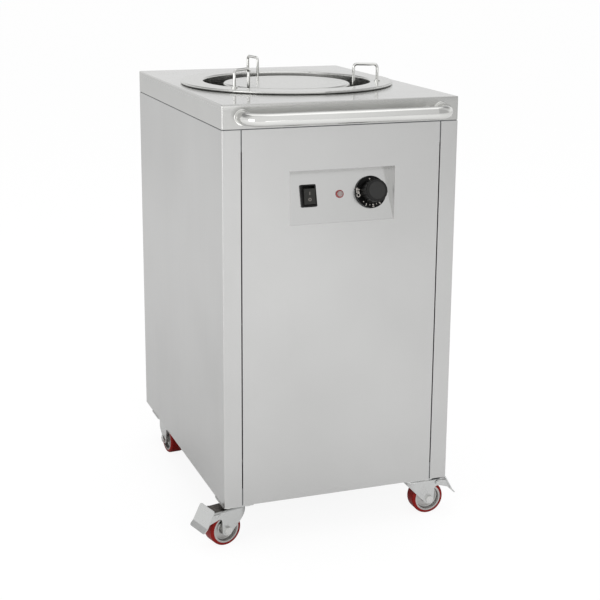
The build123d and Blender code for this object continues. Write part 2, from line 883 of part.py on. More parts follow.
# Plate guides: bent wires from outside the ring over its edge and down to the well's floor
guide_high = ring_top + guide_rise - guide_wire / 2
for number, angle in enumerate(guide_angles, start=1):
    foot = polar(guide_outer_radius, angle)
    peg = polar(guide_inner_radius, angle)
    with BuildPart() as plate_guide:
        add(
            round_bar(
                [
                    (*foot, cap_top - sheet - guide_below),
                    (*foot, guide_high),
                    (*peg, guide_high),
                    (*peg, well_floor_height - guide_below),
                ],
                guide_bend,
                guide_wire,
            )
        )
        with BuildSketch(Plane.XY.offset(ring_top)):
            with Locations(foot):
                Circle(guide_foot / 2)
        extrude(amount=guide_foot_thick)
    plate_guide.part.label = f"plate_guide_{number}"
    export_step(plate_guide.part, f"parts/plate_guide_{number}.step")

# Guide nuts: under the cap and under the well's floor, and the spacers under the ring
with BuildPart() as guide_nuts:
    with BuildSketch(Plane.XY.offset(cap_top - sheet)):
        with Locations(*guide_feet):
            RegularPolygon(nut_width / 2, 6, major_radius=False)
            Circle(guide_wire / 2 + guide_fit, mode=Mode.SUBTRACT)
    extrude(amount=-nut_thick)
    with BuildSketch(Plane.XY.offset(flange_top)):
        with Locations(*guide_feet):
            Circle(guide_foot / 2)
            Circle(guide_wire / 2 + guide_fit, mode=Mode.SUBTRACT)
    extrude(amount=ring_top - sheet - flange_top)
    with BuildSketch(Plane.XY.offset(well_floor_height)):
        with Locations(*guide_pegs):
            RegularPolygon(nut_width / 2, 6, major_radius=False)
            Circle(guide_wire / 2 + guide_fit, mode=Mode.SUBTRACT)
    extrude(amount=-nut_thick)
guide_nuts.part.label = "guide_nuts"
export_step(guide_nuts.part, "parts/guide_nuts.step")

# Platform: a pressed disc with a turned-down rim that the plates stand on
with BuildPart() as platform:
    with BuildSketch(Plane.XZ):
        with BuildLine():
            FilletPolyline(
                (platform_radius, platform_top - platform_rim),
                (platform_radius, platform_top),
                (0, platform_top),
                radius=platform_edge,
            )
            offset(amount=platform_sheet, side=Side.LEFT)
        make_face()
    revolve(axis=Axis.Z)
platform.part.label = "platform"
export_step(platform.part, "parts/platform.step")

# Carrier column: a tube with a flange under the platform and one on the lift arms
column_top = platform_top - platform_sheet
with BuildPart() as carrier_column:
    with BuildSketch(Plane.XY.offset(arm_top)):
        Circle(column_diameter / 2)
        Circle(column_diameter / 2 - column_wall, mode=Mode.SUBTRACT)
    extrude(amount=column_top - arm_top)
    with BuildSketch(Plane.XY.offset(arm_top), Plane.XY.offset(column_top - column_flange_thick)):
        Circle(column_flange / 2)
        Circle(column_diameter / 2 - column_wall, mode=Mode.SUBTRACT)
    extrude(amount=column_flange_thick)
    with BuildSketch(Plane.XY.offset(arm_top)):
        with Locations(*[polar(arm_bolt_radius, angle) for angle in arm_angles]):
            Circle(arm_bolt / 2 + screw_fit)
    extrude(amount=column_flange_thick, mode=Mode.SUBTRACT)
carrier_column.part.label = "carrier_column"
export_step(carrier_column.part, "parts/carrier_column.step")

# Lift arms: three bars out through the well's slots, each with a cross bar for two springs
spring_spots = [
    (*polar(hypot(spring_radius_place, spring_spacing / 2), angle + turn), angle)
    for angle in arm_angles
    for turn in (
        -degrees(atan2(spring_spacing / 2, spring_radius_place)),
        degrees(atan2(spring_spacing / 2, spring_radius_place)),
    )
]
with BuildPart() as lift_arms:
    with BuildSketch(Plane.XY.offset(arm_bottom)):
        for angle in arm_angles:
            with Locations(Location((*polar((arm_start + arm_reach) / 2, angle), 0), (0, 0, angle))):
                Rectangle(arm_reach - arm_start, arm_width)
            with Locations(Location((*polar(spring_radius_place, angle), 0), (0, 0, angle))):
                Rectangle(cross_bar_width, cross_bar_length)
        with Locations(*[polar(arm_bolt_radius, angle) for angle in arm_angles]):
            Circle(arm_bolt / 2 + screw_fit, mode=Mode.SUBTRACT)
        with Locations(*[(x, y) for x, y, _ in spring_spots]):
            Circle(spring_hole / 2, mode=Mode.SUBTRACT)
    extrude(amount=arm_thick)
lift_arms.part.label = "lift_arms"
export_step(lift_arms.part, "parts/lift_arms.step")

with BuildPart() as arm_bolts:
    with BuildSketch(Plane.XY.offset(arm_bottom - arm_bolt_head_thick)):
        with Locations(*[polar(arm_bolt_radius, angle) for angle in arm_angles]):
            RegularPolygon(arm_bolt_head / 2, 6, major_radius=False)
    extrude(amount=arm_bolt_head_thick)
    with BuildSketch(Plane.XY.offset(arm_bottom)):
        with Locations(*[polar(arm_bolt_radius, angle) for angle in arm_angles]):
            Circle(arm_bolt / 2)
    extrude(amount=arm_thick + column_flange_thick)
    with BuildSketch(Plane.XY.offset(arm_top + column_flange_thick)):
        with Locations(*[polar(arm_bolt_radius, angle) for angle in arm_angles]):
            RegularPolygon(arm_bolt_head / 2, 6, major_radius=False)
    extrude(amount=arm_bolt_head_thick)
arm_bolts.part.label = "arm_bolts"
export_step(arm_bolts.part, "parts/arm_bolts.step")

# Spring hangers: brackets welded to the well tube, with a stiffening lip
with BuildPart() as spring_hangers:
    with BuildSketch(Plane.XY.offset(hanger_z)):
        for angle in arm_angles:
            with Locations(Location((*polar(spring_radius_place, angle), 0), (0, 0, angle))):
                Rectangle(2 * (spring_radius_place - tube_inner), cross_bar_length)
        Circle(tube_outer + hanger_fit, mode=Mode.SUBTRACT)
        with Locations(*[(x, y) for x, y, _ in spring_spots]):
            Circle(spring_hole / 2, mode=Mode.SUBTRACT)
    extrude(amount=hanger_sheet)
    with BuildSketch(Plane.XY.offset(hanger_z)):
        for angle in arm_angles:
            lip = polar(2 * spring_radius_place - tube_inner - hanger_sheet / 2, angle)
            with Locations(Location((*lip, 0), (0, 0, angle))):
                Rectangle(hanger_sheet, cross_bar_length)
    extrude(amount=hanger_lip)
spring_hangers.part.label = "spring_hangers"
export_step(spring_hangers.part, "parts/spring_hangers.step")

# Lift springs: close-wound coils as sleeves, with a hook at each end
coil_low = arm_top + spring_loop
coil_high = hanger_z - spring_loop
hook_high = hanger_z + hanger_sheet + spring_wire / 2 + hanger_fit
hook_low = arm_bottom - spring_wire / 2 - hanger_fit
with BuildPart() as lift_springs:
    for x, y, angle in spring_spots:
        out_x, out_y = polar(spring_hook, angle)
        with BuildSketch(Plane.XY.offset(coil_low)):
            with Locations((x, y)):
                Circle(spring_diameter / 2)
                Circle(spring_diameter / 2 - spring_wire, mode=Mode.SUBTRACT)
        extrude(amount=coil_high - coil_low)
        with BuildSketch(Plane.XY.offset(coil_low), Plane.XY.offset(coil_high - spring_wire)):
            with Locations(Location((x, y, 0), (0, 0, angle))):
                Rectangle(spring_diameter - spring_wire, 2 * spring_wire)
        extrude(amount=spring_wire)
        for end, hook in ((coil_low, hook_low), (coil_high, hook_high)):
            add(
                round_bar(
                    [(x, y, end), (x, y, hook), (x + out_x, y + out_y, hook)],
                    spring_hook_bend,
                    spring_wire,
                )
            )
lift_springs.part.label = "lift_springs"
export_step(lift_springs.part, "parts/lift_springs.step")

# Heat reflector: a pressed tray turned over on the base pan under the heating element
with BuildPart() as heat_reflector:
    with Locations((0, 0, pan_top + reflector_rise / 2)):
        Box(reflector_width, reflector_width, reflector_rise)
    fillet(heat_reflector.edges().filter_by(Axis.Z), heater_end_bend)
    offset(amount=-sheet, openings=heat_reflector.faces().sort_by(Axis.Z)[0])
heat_reflector.part.label = "heat_reflector"
export_step(heat_reflector.part, "parts/heat_reflector.step")

# Heating element: one round bar bent to an open loop, with both ends towards the front
loop_half = heater_width / 2
end_half = heater_ends / 2
with BuildPart() as heater_element:
    add(
        round_bar(
            [
                (-end_half, -heater_lead_out, heater_z),
                (-end_half, -loop_half, heater_z),
                (-loop_half, -loop_half, heater_z),
                (-loop_half, loop_half, heater_z),
                (loop_half, loop_half, heater_z),
                (loop_half, -loop_half, heater_z),
                (end_half, -loop_half, heater_z),
                (end_half, -heater_lead_out, heater_z),
            ],
            [heater_end_bend] + [heater_bend] * 4 + [heater_end_bend],
            heater_tube,
        )
    )
heater_element.part.label = "heater_element"
export_step(heater_element.part, "parts/heater_element.step")

# Heater clips: a foot, a post and an eye round the element on three of its sides
clip_eye = heater_tube / 2 + heater_fit
reflector_top = pan_top + reflector_rise
with BuildPart() as heater_clip:
    with BuildSketch(Plane.XZ):
        with Locations((loop_half, (reflector_top + heater_z) / 2)):
            Rectangle(clip_sheet, heater_z - reflector_top)
        with Locations((loop_half - clip_foot / 2 + clip_sheet / 2, reflector_top + clip_sheet / 2)):
            Rectangle(clip_foot, clip_sheet)
        with Locations((loop_half, heater_z)):
            Circle(clip_eye + clip_sheet)
            Circle(clip_eye, mode=Mode.SUBTRACT)
    extrude(amount=clip_width / 2, both=True)
with BuildPart() as heater_clips:
    for angle in (0, 90, 180):
        add(heater_clip.part.rotate(Axis.Z, angle))
heater_clips.part.label = "heater_clips"
export_step(heater_clips.part, "parts/heater_clips.step")

# Terminal block: stands on the base pan near the cable gland
terminal_y = rear_y - terminal_inset
way_width = (terminal_length - terminal_gap * (terminal_ways + 1)) / terminal_ways
with BuildPart() as terminal_block:
    with Locations((gland_offset, terminal_y, pan_top + terminal_height / 2)):
        Box(terminal_length, terminal_width, terminal_height)
        with Locations((0, 0, terminal_height / 4)):
            with GridLocations(way_width + terminal_gap, 0, terminal_ways, 1):
                Box(way_width, terminal_width, terminal_height / 2, mode=Mode.SUBTRACT)
terminal_block.part.label = "terminal_block"
export_step(terminal_block.part, "parts/terminal_block.step")

# Wiring: the loom from the terminals to the thermostat, and two leads from the heating element
thermostat_middle = fascia_face.from_local_coords((*knob_spot, -sheet - thermostat_depth / 2))
loom_x = right_x - loom_side_gap
loom_z = pan_top + bolt_nut_thick + loom_diameter
wire_y = thermostat_middle.Y
wire_z = thermostat_middle.Z
with BuildPart() as wiring:
    add(
        round_bar(
            [
                (gland_offset + terminal_length / 2, terminal_y, loom_z),
                (loom_x, terminal_y, loom_z),
                (loom_x, wire_y, loom_z),
                (loom_x, wire_y, wire_z),
                (control_spacing + thermostat_width / 2, wire_y, wire_z),
            ],
            loom_bend,
            loom_diameter,
        )
    )
    for side, end in (
        (-end_half, switch_body_width / 2 - control_spacing),
        (end_half, control_spacing - thermostat_width / 2),
    ):
        add(
            round_bar(
                [
                    (side, -heater_lead_out, heater_z),
                    (side, wire_y, heater_z),
                    (side, wire_y, wire_z),
                    (end, wire_y, wire_z),
                ],
                lead_bend,
                lead_diameter,
            )
        )
wiring.part.label = "wiring"
export_step(wiring.part, "parts/wiring.step")

# Cable gland: threaded through the rear panel, with a locknut inside and a domed nut outside
with BuildPart() as cable_gland:
    with BuildSketch(Plane.XZ.offset(gland_inside - rear_y)):
        with Locations((gland_offset, gland_height)):
            Circle(gland_thread / 2)
    extrude(amount=-gland_inside - sheet)
    with BuildSketch(Plane.XZ.offset(gland_hex_thick - rear_y), Plane.XZ.offset(-rear_y - sheet)):
        with Locations((gland_offset, gland_height)):
            RegularPolygon(gland_hex / 2, 6, major_radius=False)
    extrude(amount=-gland_hex_thick)
    with BuildSketch(Plane.XZ.offset(-rear_y - sheet - gland_hex_thick)):
        with Locations((gland_offset, gland_height)):
            Circle(gland_hex / 2 - bend_radius)
    extrude(amount=-gland_dome, taper=gland_taper)
    with BuildSketch(Plane.XZ.offset(gland_inside - rear_y)):
        with Locations((gland_offset, gland_height)):
            Circle(gland_bore / 2)
    extrude(amount=-2 * (gland_inside + gland_dome + gland_hex_thick), mode=Mode.SUBTRACT)
cable_gland.part.label = "cable_gland"
export_step(cable_gland.part, "parts/cable_gland.step")

# Rear panel screws: domed heads with a cross slot
with BuildPart() as panel_screws:
    with BuildSketch(Plane.XZ.offset(-rear_y - sheet)):
        with Locations(*rear_screw_spots):
            Circle(screw_head / 2)
    extrude(amount=-screw_head_thick)
    with BuildSketch(Plane.XZ.offset(-rear_y - sheet)):
        with Locations(*rear_screw_spots):
            Circle(screw_shank / 2)
    extrude(amount=screw_length)
    fillet(panel_screws.edges().filter_by(GeomType.CIRCLE).group_by(Axis.Y)[-1], screw_dome)
    with BuildSketch(Plane.XZ.offset(-rear_y - sheet - screw_head_thick)):
        with Locations(*rear_screw_spots):
            Rectangle(screw_slot_length, screw_slot)
            Rectangle(screw_slot, screw_slot_length)
    extrude(amount=screw_slot_depth, mode=Mode.SUBTRACT)
panel_screws.part.label = "panel_screws"
export_step(panel_screws.part, "parts/panel_screws.step")

# Front panel bolts: from inside, through the panel's folded edges and the stile returns
panel_inside = panel_edge - sheet
stile_inside = panel_edge + panel_gap + sheet
with BuildPart() as front_panel_bolts:
    for side in (-1, 1):
        for start, length, width, corners in (
            (panel_inside - panel_bolt_head_thick, panel_bolt_head_thick, panel_bolt_head, True),
            (panel_inside, stile_inside - panel_inside, panel_bolt, False),
            (stile_inside, panel_bolt_head_thick, panel_bolt_head, True),
        ):
            with BuildSketch(Plane.YZ.offset(side * start)):
                with Locations(*[(stile_bolt_y, z) for z in stile_bolt_z]):
                    if corners:
                        RegularPolygon(width / 2, 6, major_radius=False)
                    else:
                        Circle(width / 2)
            extrude(amount=side * length)
front_panel_bolts.part.label = "front_panel_bolts"
export_step(front_panel_bolts.part, "parts/front_panel_bolts.step")

# Caster bolts: heads under the caster plates, nuts on the base pan
plate_bottom = caster_height - plate_thick
with BuildPart() as caster_bolts:
    with BuildSketch(Plane.XY.offset(plate_bottom)):
        with Locations(*bolt_spots):
            RegularPolygon(bolt_head / 2, 6, major_radius=False)
    extrude(amount=-bolt_head_thick)
    with BuildSketch(Plane.XY.offset(plate_bottom)):
        with Locations(*bolt_spots):
            Circle(bolt_diameter / 2)
    extrude(amount=plate_thick + pan_sheet)
    with BuildSketch(Plane.XY.offset(pan_top)):
        with Locations(*bolt_spots):
            RegularPolygon(bolt_head / 2, 6, major_radius=False)
    extrude(amount=bolt_nut_thick)
caster_bolts.part.label = "caster_bolts"
export_step(caster_bolts.part, "parts/caster_bolts.step")

# Caster plates: the bolted plate, the fixed race under it and the swivel pin
caster_pivots = [(x, y) for x, y, _ in caster_spots.values()]
with BuildPart() as caster_plates:
    with BuildSketch(Plane.XY.offset(plate_bottom)):
        with Locations(*caster_pivots):
            RectangleRounded(plate_width, plate_width, plate_corner)
        with Locations(*bolt_spots):
            Circle(bolt_diameter / 2 + screw_fit, mode=Mode.SUBTRACT)
    extrude(amount=plate_thick)
    race_height = plate_bottom - crown_top - race_gap
    with Locations(*[(x, y, plate_bottom - race_height / 2) for x, y in caster_pivots]):
        Cone(race_neck / 2, race_diameter / 2, race_height)
    pin_low = crown_bottom - race_gap - pin_head_thick
    with BuildSketch(Plane.XY.offset(pin_low)):
        with Locations(*caster_pivots):
            Circle(pin_diameter / 2)
    extrude(amount=plate_bottom - pin_low)
    with BuildSketch(Plane.XY.offset(pin_low)):
        with Locations(*caster_pivots):
            Circle(pin_head / 2)
    extrude(amount=pin_head_thick)
caster_plates.part.label = "caster_plates"
export_step(caster_plates.part, "parts/caster_plates.step")

# Caster fork: sheet drawn round the front of the wheel, cut to two legs with a lip at the back
with BuildPart() as plain_fork:
    add(fork_form(fork_outside, crown_top, fork_edge))
    add(fork_form(fork_inside, crown_bottom, fork_edge - fork_sheet), mode=Mode.SUBTRACT)
    with BuildSketch(Plane.XZ) as fork_side:
        with BuildLine():
            Line((-fork_outside, crown_top), (-fork_outside, crown_top - fork_front))
            Line((-fork_outside, crown_top), (stem_back, crown_top))
            CenterArc((caster_trail, wheel_z), fork_boss / 2, 0, 360)
        make_hull()
        with Locations(((caster_trail + fork_back) / 2, (lip_low + crown_top) / 2)):
            Rectangle(fork_back - caster_trail, crown_top - lip_low)
        lip_corners = fork_side.vertices().filter_by_position(Axis.Y, lip_low, lip_low)
        fillet(lip_corners.sort_by(Axis.X)[0], fork_lip_bend)
        fillet(fork_side.vertices().sort_by(Axis.X)[-2:].sort_by(Axis.Y)[0], fork_corner)
    extrude(amount=fork_outside, both=True, mode=Mode.INTERSECT)
    with BuildSketch(Plane.XY.offset(crown_bottom)):
        Circle(pin_diameter / 2 + pin_fit)
    extrude(amount=fork_sheet, mode=Mode.SUBTRACT)
    with BuildSketch(Plane.XZ):
        with Locations((caster_trail, wheel_z)):
            Circle(axle_diameter / 2 + axle_fit)
    extrude(amount=fork_outside, both=True, mode=Mode.SUBTRACT)

with BuildPart() as braked_fork:
    add(plain_fork.part)
    with BuildSketch(Plane.XZ):
        with Locations((hinge_x, hinge_z)):
            Circle(pedal_pin / 2 + pedal_pin_fit)
    extrude(amount=fork_outside, both=True, mode=Mode.SUBTRACT)

# Wheel: a metal core dished between its hub and rim, and a moulded tread with rounded shoulders
wheel_axis = Axis((caster_trail, 0, wheel_z), (0, 1, 0))
core_radius = wheel_diameter / 2 - tread_thick
hub_radius = hub_diameter / 2
bore_radius = axle_diameter / 2 + axle_fit
with BuildPart() as wheel_core:
    with BuildSketch(Plane.XY.offset(wheel_z)) as core_section:
        with Locations((caster_trail + (bore_radius + hub_radius) / 2, 0)):
            Rectangle(hub_radius - bore_radius, hub_width)
        with Locations((caster_trail + (hub_radius + core_radius) / 2, 0)):
            Rectangle(core_radius - hub_radius, core_web)
        with Locations((caster_trail + core_radius - core_rim / 2, 0)):
            Rectangle(core_rim, wheel_width - 2 * hub_gap)
        fillet(core_section.vertices().filter_by(lambda corner: abs(corner.Y) < core_web), core_dish)
    revolve(axis=wheel_axis)

with BuildPart() as wheel_tread:
    with BuildSketch(Plane.XY.offset(wheel_z)) as tread_section:
        with Locations((caster_trail + core_radius + tread_thick / 2, 0)):
            Rectangle(tread_thick, wheel_width)
        fillet(tread_section.vertices().group_by(Axis.X)[-1], tread_shoulder)
    revolve(axis=wheel_axis)

with BuildPart() as axle_bolt:
    with BuildSketch(Plane.XZ):
        with Locations((caster_trail, wheel_z)):
            Circle(axle_diameter / 2)
    extrude(amount=fork_outside, both=True)
    for side in (-1, 1):
        with BuildSketch(Plane.XZ.offset(side * fork_outside)):
            with Locations((caster_trail, wheel_z)):
                RegularPolygon(axle_head / 2, 6, major_radius=False)
        extrude(amount=side * axle_head_thick)

# Brake pedal: a lipped tread plate on two cheeks, with the shoe on the hinge pin between the legs
hinge_spot = (hinge_x, hinge_z)
pedal_points = [
    (hinge_x + pedal_top_reach, hinge_z + pedal_top_rise),
    (hinge_x + pedal_lip_reach, hinge_z - pedal_lip_drop),
    (hinge_x + pedal_tip_reach, hinge_z - pedal_tip_drop),
]
shoe_reach = wheel_diameter / 2 + brake_gap + pedal_shoe / 2
shoe_spot = (
    caster_trail + shoe_reach * cos(radians(pedal_shoe_angle)),
    wheel_z + shoe_reach * sin(radians(pedal_shoe_angle)),
)
arm_x = caster_trail - hinge_x
arm_z = wheel_z - hinge_z
turn = radians(pedal_travel)
pressed_wheel = (
    hinge_x + arm_x * cos(turn) - arm_z * sin(turn),
    hinge_z + arm_x * sin(turn) + arm_z * cos(turn),
)
with BuildPart() as brake_pedal:
    with BuildSketch(Plane.XZ):
        with BuildLine():
            FilletPolyline(*pedal_points, radius=pedal_bend)
            offset(amount=pedal_sheet, side=Side.LEFT)
        make_face()
    extrude(amount=pedal_width / 2, both=True)
    fillet(brake_pedal.edges().filter_by(GeomType.LINE).group_by(Edge.length)[0], pedal_corner)
    for side in (-1, 1):
        with BuildSketch(Plane.XZ.offset(side * (pedal_cheeks / 2 - pedal_sheet))):
            with BuildLine():
                pedal_curve = FilletPolyline(*pedal_points, radius=pedal_bend, mode=Mode.PRIVATE)
                CenterArc(hinge_spot, pedal_ear / 2, 0, 360)
                CenterArc(pedal_curve @ pedal_cheek_from, pedal_sheet / 2, 0, 360)
                CenterArc(pedal_curve @ pedal_cheek_to, pedal_sheet / 2, 0, 360)
            make_hull()
        extrude(amount=side * pedal_sheet)
        with BuildSketch(Plane.XZ.offset(side * pedal_cheeks / 2)):
            with Locations(hinge_spot):
                Circle(pedal_rivet / 2)
        extrude(amount=side * pedal_rivet_thick)
    with BuildSketch(Plane.XZ):
        with BuildLine():
            CenterArc(hinge_spot, pedal_sleeve / 2, 0, 360)
            CenterArc(shoe_spot, pedal_shoe / 2, 0, 360)
        make_hull()
        with Locations((caster_trail, wheel_z), pressed_wheel):
            Circle(wheel_diameter / 2 + brake_gap, mode=Mode.SUBTRACT)
    extrude(amount=pedal_shoe_width / 2, both=True)
    with BuildSketch(Plane.XZ):
        with Locations(hinge_spot):
            Circle(pedal_pin / 2)
    extrude(amount=pedal_cheeks / 2, both=True)

# The same caster stands at four places, with a brake on the front pair
for spot, place in caster_places.items():
    with BuildPart() as caster_fork:
        add((braked_fork if spot in braked_casters else plain_fork).part.moved(place))
    caster_fork.part.label = f"caster_fork_{spot}"
    export_step(caster_fork.part, f"parts/caster_fork_{spot}.step")
    with BuildPart() as placed_core:
        add(wheel_core.part.moved(place))
    placed_core.part.label = f"wheel_core_{spot}"
    export_step(placed_core.part, f"parts/wheel_core_{spot}.step")
    with BuildPart() as placed_tread:
        add(wheel_tread.part.moved(place))
    placed_tread.part.label = f"wheel_tread_{spot}"
    export_step(placed_tread.part, f"parts/wheel_tread_{spot}.step")
    with BuildPart() as caster_axle:
        add(axle_bolt.part.moved(place))
    caster_axle.part.label = f"caster_axle_{spot}"
    export_step(caster_axle.part, f"parts/caster_axle_{spot}.step")

for spot in braked_casters:
    with BuildPart() as placed_pedal:
        add(brake_pedal.part.moved(caster_places[spot]))
    placed_pedal.part.label = f"brake_pedal_{spot}"
    export_step(placed_pedal.part, f"parts/brake_pedal_{spot}.step")
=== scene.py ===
import json
from math import cos, radians, sin, tan

import bpy
from mathutils import Euler, Matrix, Vector


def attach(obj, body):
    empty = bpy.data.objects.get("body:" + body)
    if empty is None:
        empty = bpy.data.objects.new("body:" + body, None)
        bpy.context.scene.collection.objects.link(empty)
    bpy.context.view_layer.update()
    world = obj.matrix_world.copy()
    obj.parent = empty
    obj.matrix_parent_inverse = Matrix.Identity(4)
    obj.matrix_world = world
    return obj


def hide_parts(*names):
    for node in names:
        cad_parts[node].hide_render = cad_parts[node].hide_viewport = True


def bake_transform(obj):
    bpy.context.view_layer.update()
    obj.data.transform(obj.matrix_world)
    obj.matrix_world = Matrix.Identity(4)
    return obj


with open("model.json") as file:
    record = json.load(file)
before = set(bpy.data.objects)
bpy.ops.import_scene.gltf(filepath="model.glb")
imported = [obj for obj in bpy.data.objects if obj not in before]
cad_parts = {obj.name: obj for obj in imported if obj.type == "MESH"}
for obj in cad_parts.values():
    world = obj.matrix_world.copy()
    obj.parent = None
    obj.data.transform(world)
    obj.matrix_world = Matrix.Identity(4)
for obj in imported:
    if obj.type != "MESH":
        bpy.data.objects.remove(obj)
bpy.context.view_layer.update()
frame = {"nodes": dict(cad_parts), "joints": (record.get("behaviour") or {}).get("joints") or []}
nodes = frame["nodes"]

# Base pan and top frame
# The tray under the cabinet that carries the casters, and the folded rectangle under the cap.
# Both are folded from hot-dip galvanised sheet, whose zinc freezes in patches, painted dark as shade for
# the gaps.


def linear(code):
    """Linear colour of an sRGB hex value."""
    parts = [int(code[i:i + 2], 16) / 255 for i in (1, 3, 5)]
    return [p / 12.92 if p <= 0.04045 else ((p + 0.055) / 1.055) ** 2.4 for p in parts] + [1]


def add(tree, kind, inputs, **settings):
    """Adds a node with its settings, and with its inputs set or linked."""
    node = tree.nodes.new(kind)
    for name, value in settings.items():
        setattr(node, name, value)
    for key, value in inputs.items():
        if isinstance(value, bpy.types.NodeSocket):
            tree.links.new(value, node.inputs[key])
        else:
            node.inputs[key].default_value = value
    return node


def new_finish(name, constants):
    """A material with the shader's constant values set, and its Object coordinates."""
    material = bpy.data.materials.new(name)
    material.use_nodes = True
    tree = material.node_tree
    shader = tree.nodes["Principled BSDF"]
    for socket, value in constants.items():
        shader.inputs[socket].default_value = value
    place = add(tree, "ShaderNodeTexCoord", {}).outputs["Object"]
    return material, tree, shader, place


def dress(material, *names):
    """Gives CAD nodes their material."""
    for name in names:
        for material_slot in nodes[name].material_slots:
            material_slot.material = material


spangle = 0.009
galvanised, tree, shader, place = new_finish("galvanised_sheet_painted_dark", {"Metallic": 1})
patches = add(tree, "ShaderNodeTexVoronoi", {"Vector": place, "Scale": 1 / spangle})
tones = add(tree, "ShaderNodeValToRGB", {"Fac": patches.outputs["Color"]})
# Painted shade: these tones are darker than the zinc's own, so the panel gaps that show the sheet read
# dark.
tones.color_ramp.elements[0].color = linear("#6e7072")
tones.color_ramp.elements[1].color = linear("#888a8c")
roughness = add(
    tree,
    "ShaderNodeMapRange",
    {"Value": patches.outputs["Distance"], "To Min": 0.45, "To Max": 0.6},
)
tree.links.new(tones.outputs["Color"], shader.inputs["Base Color"])
tree.links.new(roughness.outputs["Result"], shader.inputs["Roughness"])
dress(galvanised, "base_pan", "top_frame", "spring_hangers", "heat_reflector", "heater_clips")

# Wall panels
# Two side panels folded round the front as stiles, the fixed front panel and the rear cover.
# Satin stainless sheet, ground with a belt that leaves a fine upright grain.
grain_width = 0.0009  # the real grain is about a tenth of this, too fine to show
grain_length = 0.16
grain_depth = 0.00006
cloud = 0.22
satin, tree, shader, place = new_finish("satin_stainless_sheet", {"Metallic": 1})
stretched = add(
    tree,
    "ShaderNodeMapping",
    {"Vector": place, "Scale": (1 / grain_width, 1 / grain_width, 1 / grain_length)},
)
grain = add(
    tree,
    "ShaderNodeTexNoise",
    {"Vector": stretched.outputs["Vector"], "Scale": 1, "Detail": 3},
)
clouds = add(tree, "ShaderNodeTexNoise", {"Vector": place, "Scale": 1 / cloud, "Detail": 2})
tones = add(tree, "ShaderNodeValToRGB", {"Fac": clouds.outputs["Fac"]})
tones.color_ramp.elements[0].position = 0.3
tones.color_ramp.elements[0].color = linear("#cacac9")
tones.color_ramp.elements[1].position = 0.7
tones.color_ramp.elements[1].color = linear("#d0d0cf")
roughness = add(
    tree,
    "ShaderNodeMapRange",
    {"Value": grain.outputs["Fac"], "To Min": 0.24, "To Max": 0.42},
)
ridges = add(
    tree,
    "ShaderNodeBump",
    {"Height": grain.outputs["Fac"], "Strength": 0.25, "Distance": grain_depth},
)
tree.links.new(tones.outputs["Color"], shader.inputs["Base Color"])
tree.links.new(roughness.outputs["Result"], shader.inputs["Roughness"])
tree.links.new(ridges.outputs["Normal"], shader.inputs["Normal"])
dress(satin, "left_side_panel", "right_side_panel", "front_panel", "rear_panel")

# Top cap and control fascia
# The drawn tray over the cabinet and the sloping pocket for the controls, of polished stainless sheet.
# The cap's top mirrors what stands on it, and its skirt stays duller, with painted light making it paler
# at the sides.
# The brush didn't reach the fascia's two cheeks, which keep the mirror of the mill.
smear = 0.05
smear_dulls = 0.08
fold_low = 0.722
fold_high = 0.73
side_blend = 0.001
cap = {
    "node": "top_cap",
    "tones": ("#c2c2c0", "#cbcbc9"),
    # side_tones: painted light, paler where the light falls on the cap's side skirts
    "side_tones": ("#cbcbc9", "#d4d4d2"),
    "side_from": 0.1985,
    "side_factor": 1,
    "skirt_roughness": 0.27,
    "top_roughness": 0.12,
}
fascia = {
    "node": "control_fascia",
    "tones": ("#d0d0cf", "#d8d8d7"),
    "side_tones": ("#d0d0cf", "#d8d8d7"),
    "side_from": 0.0875,
    "side_factor": 0.2,
    "skirt_roughness": 0.15,
    "top_roughness": 0.15,
}
for finish_name, polish in (("polished_stainless_sheet", cap), ("bright_annealed_stainless", fascia)):
    polished, tree, shader, place = new_finish(finish_name, {"Metallic": 1})
    smears = add(tree, "ShaderNodeTexNoise", {"Vector": place, "Scale": 1 / smear, "Detail": 4})
    ramps = []
    for pair in (polish["tones"], polish["side_tones"]):
        ramp = add(tree, "ShaderNodeValToRGB", {"Fac": smears.outputs["Fac"]})
        ramp.color_ramp.elements[0].color = linear(pair[0])
        ramp.color_ramp.elements[1].color = linear(pair[1])
        ramps.append(ramp.outputs["Color"])
    axes = add(tree, "ShaderNodeSeparateXYZ", {"Vector": place})
    across = add(tree, "ShaderNodeMath", {0: axes.outputs["X"]}, operation="ABSOLUTE")
    at_side = add(
        tree,
        "ShaderNodeMapRange",
        {
            "Value": across.outputs["Value"],
            "From Min": polish["side_from"],
            "From Max": polish["side_from"] + side_blend,
        },
    )
    colour = add(
        tree,
        "ShaderNodeMix",
        {"Factor": at_side.outputs["Result"], 6: ramps[0], 7: ramps[1]},
        data_type="RGBA",
    )
    side_factor = add(
        tree,
        "ShaderNodeMapRange",
        {"Value": at_side.outputs["Result"], "To Min": 1, "To Max": polish["side_factor"]},
    )
    roughness = add(
        tree,
        "ShaderNodeMapRange",
        {
            "Value": axes.outputs["Z"],
            "From Min": fold_low,
            "From Max": fold_high,
            "To Min": polish["skirt_roughness"],
            "To Max": polish["top_roughness"],
        },
    )
    roughness = add(
        tree,
        "ShaderNodeMath",
        {0: roughness.outputs["Result"], 1: side_factor.outputs["Result"]},
        operation="MULTIPLY",
    )
    roughness = add(
        tree,
        "ShaderNodeMath",
        {0: smears.outputs["Fac"], 1: smear_dulls, 2: roughness.outputs["Value"]},
        operation="MULTIPLY_ADD",
    )
    tree.links.new(colour.outputs[2], shader.inputs["Base Color"])
    tree.links.new(roughness.outputs["Value"], shader.inputs["Roughness"])
    dress(polished, polish["node"])

# Push handle and plate guides
# One bent tube with a rosette at each end, and three bent wires, of stainless polished to a mirror.
# Handling leaves faint dull smears on the polish.


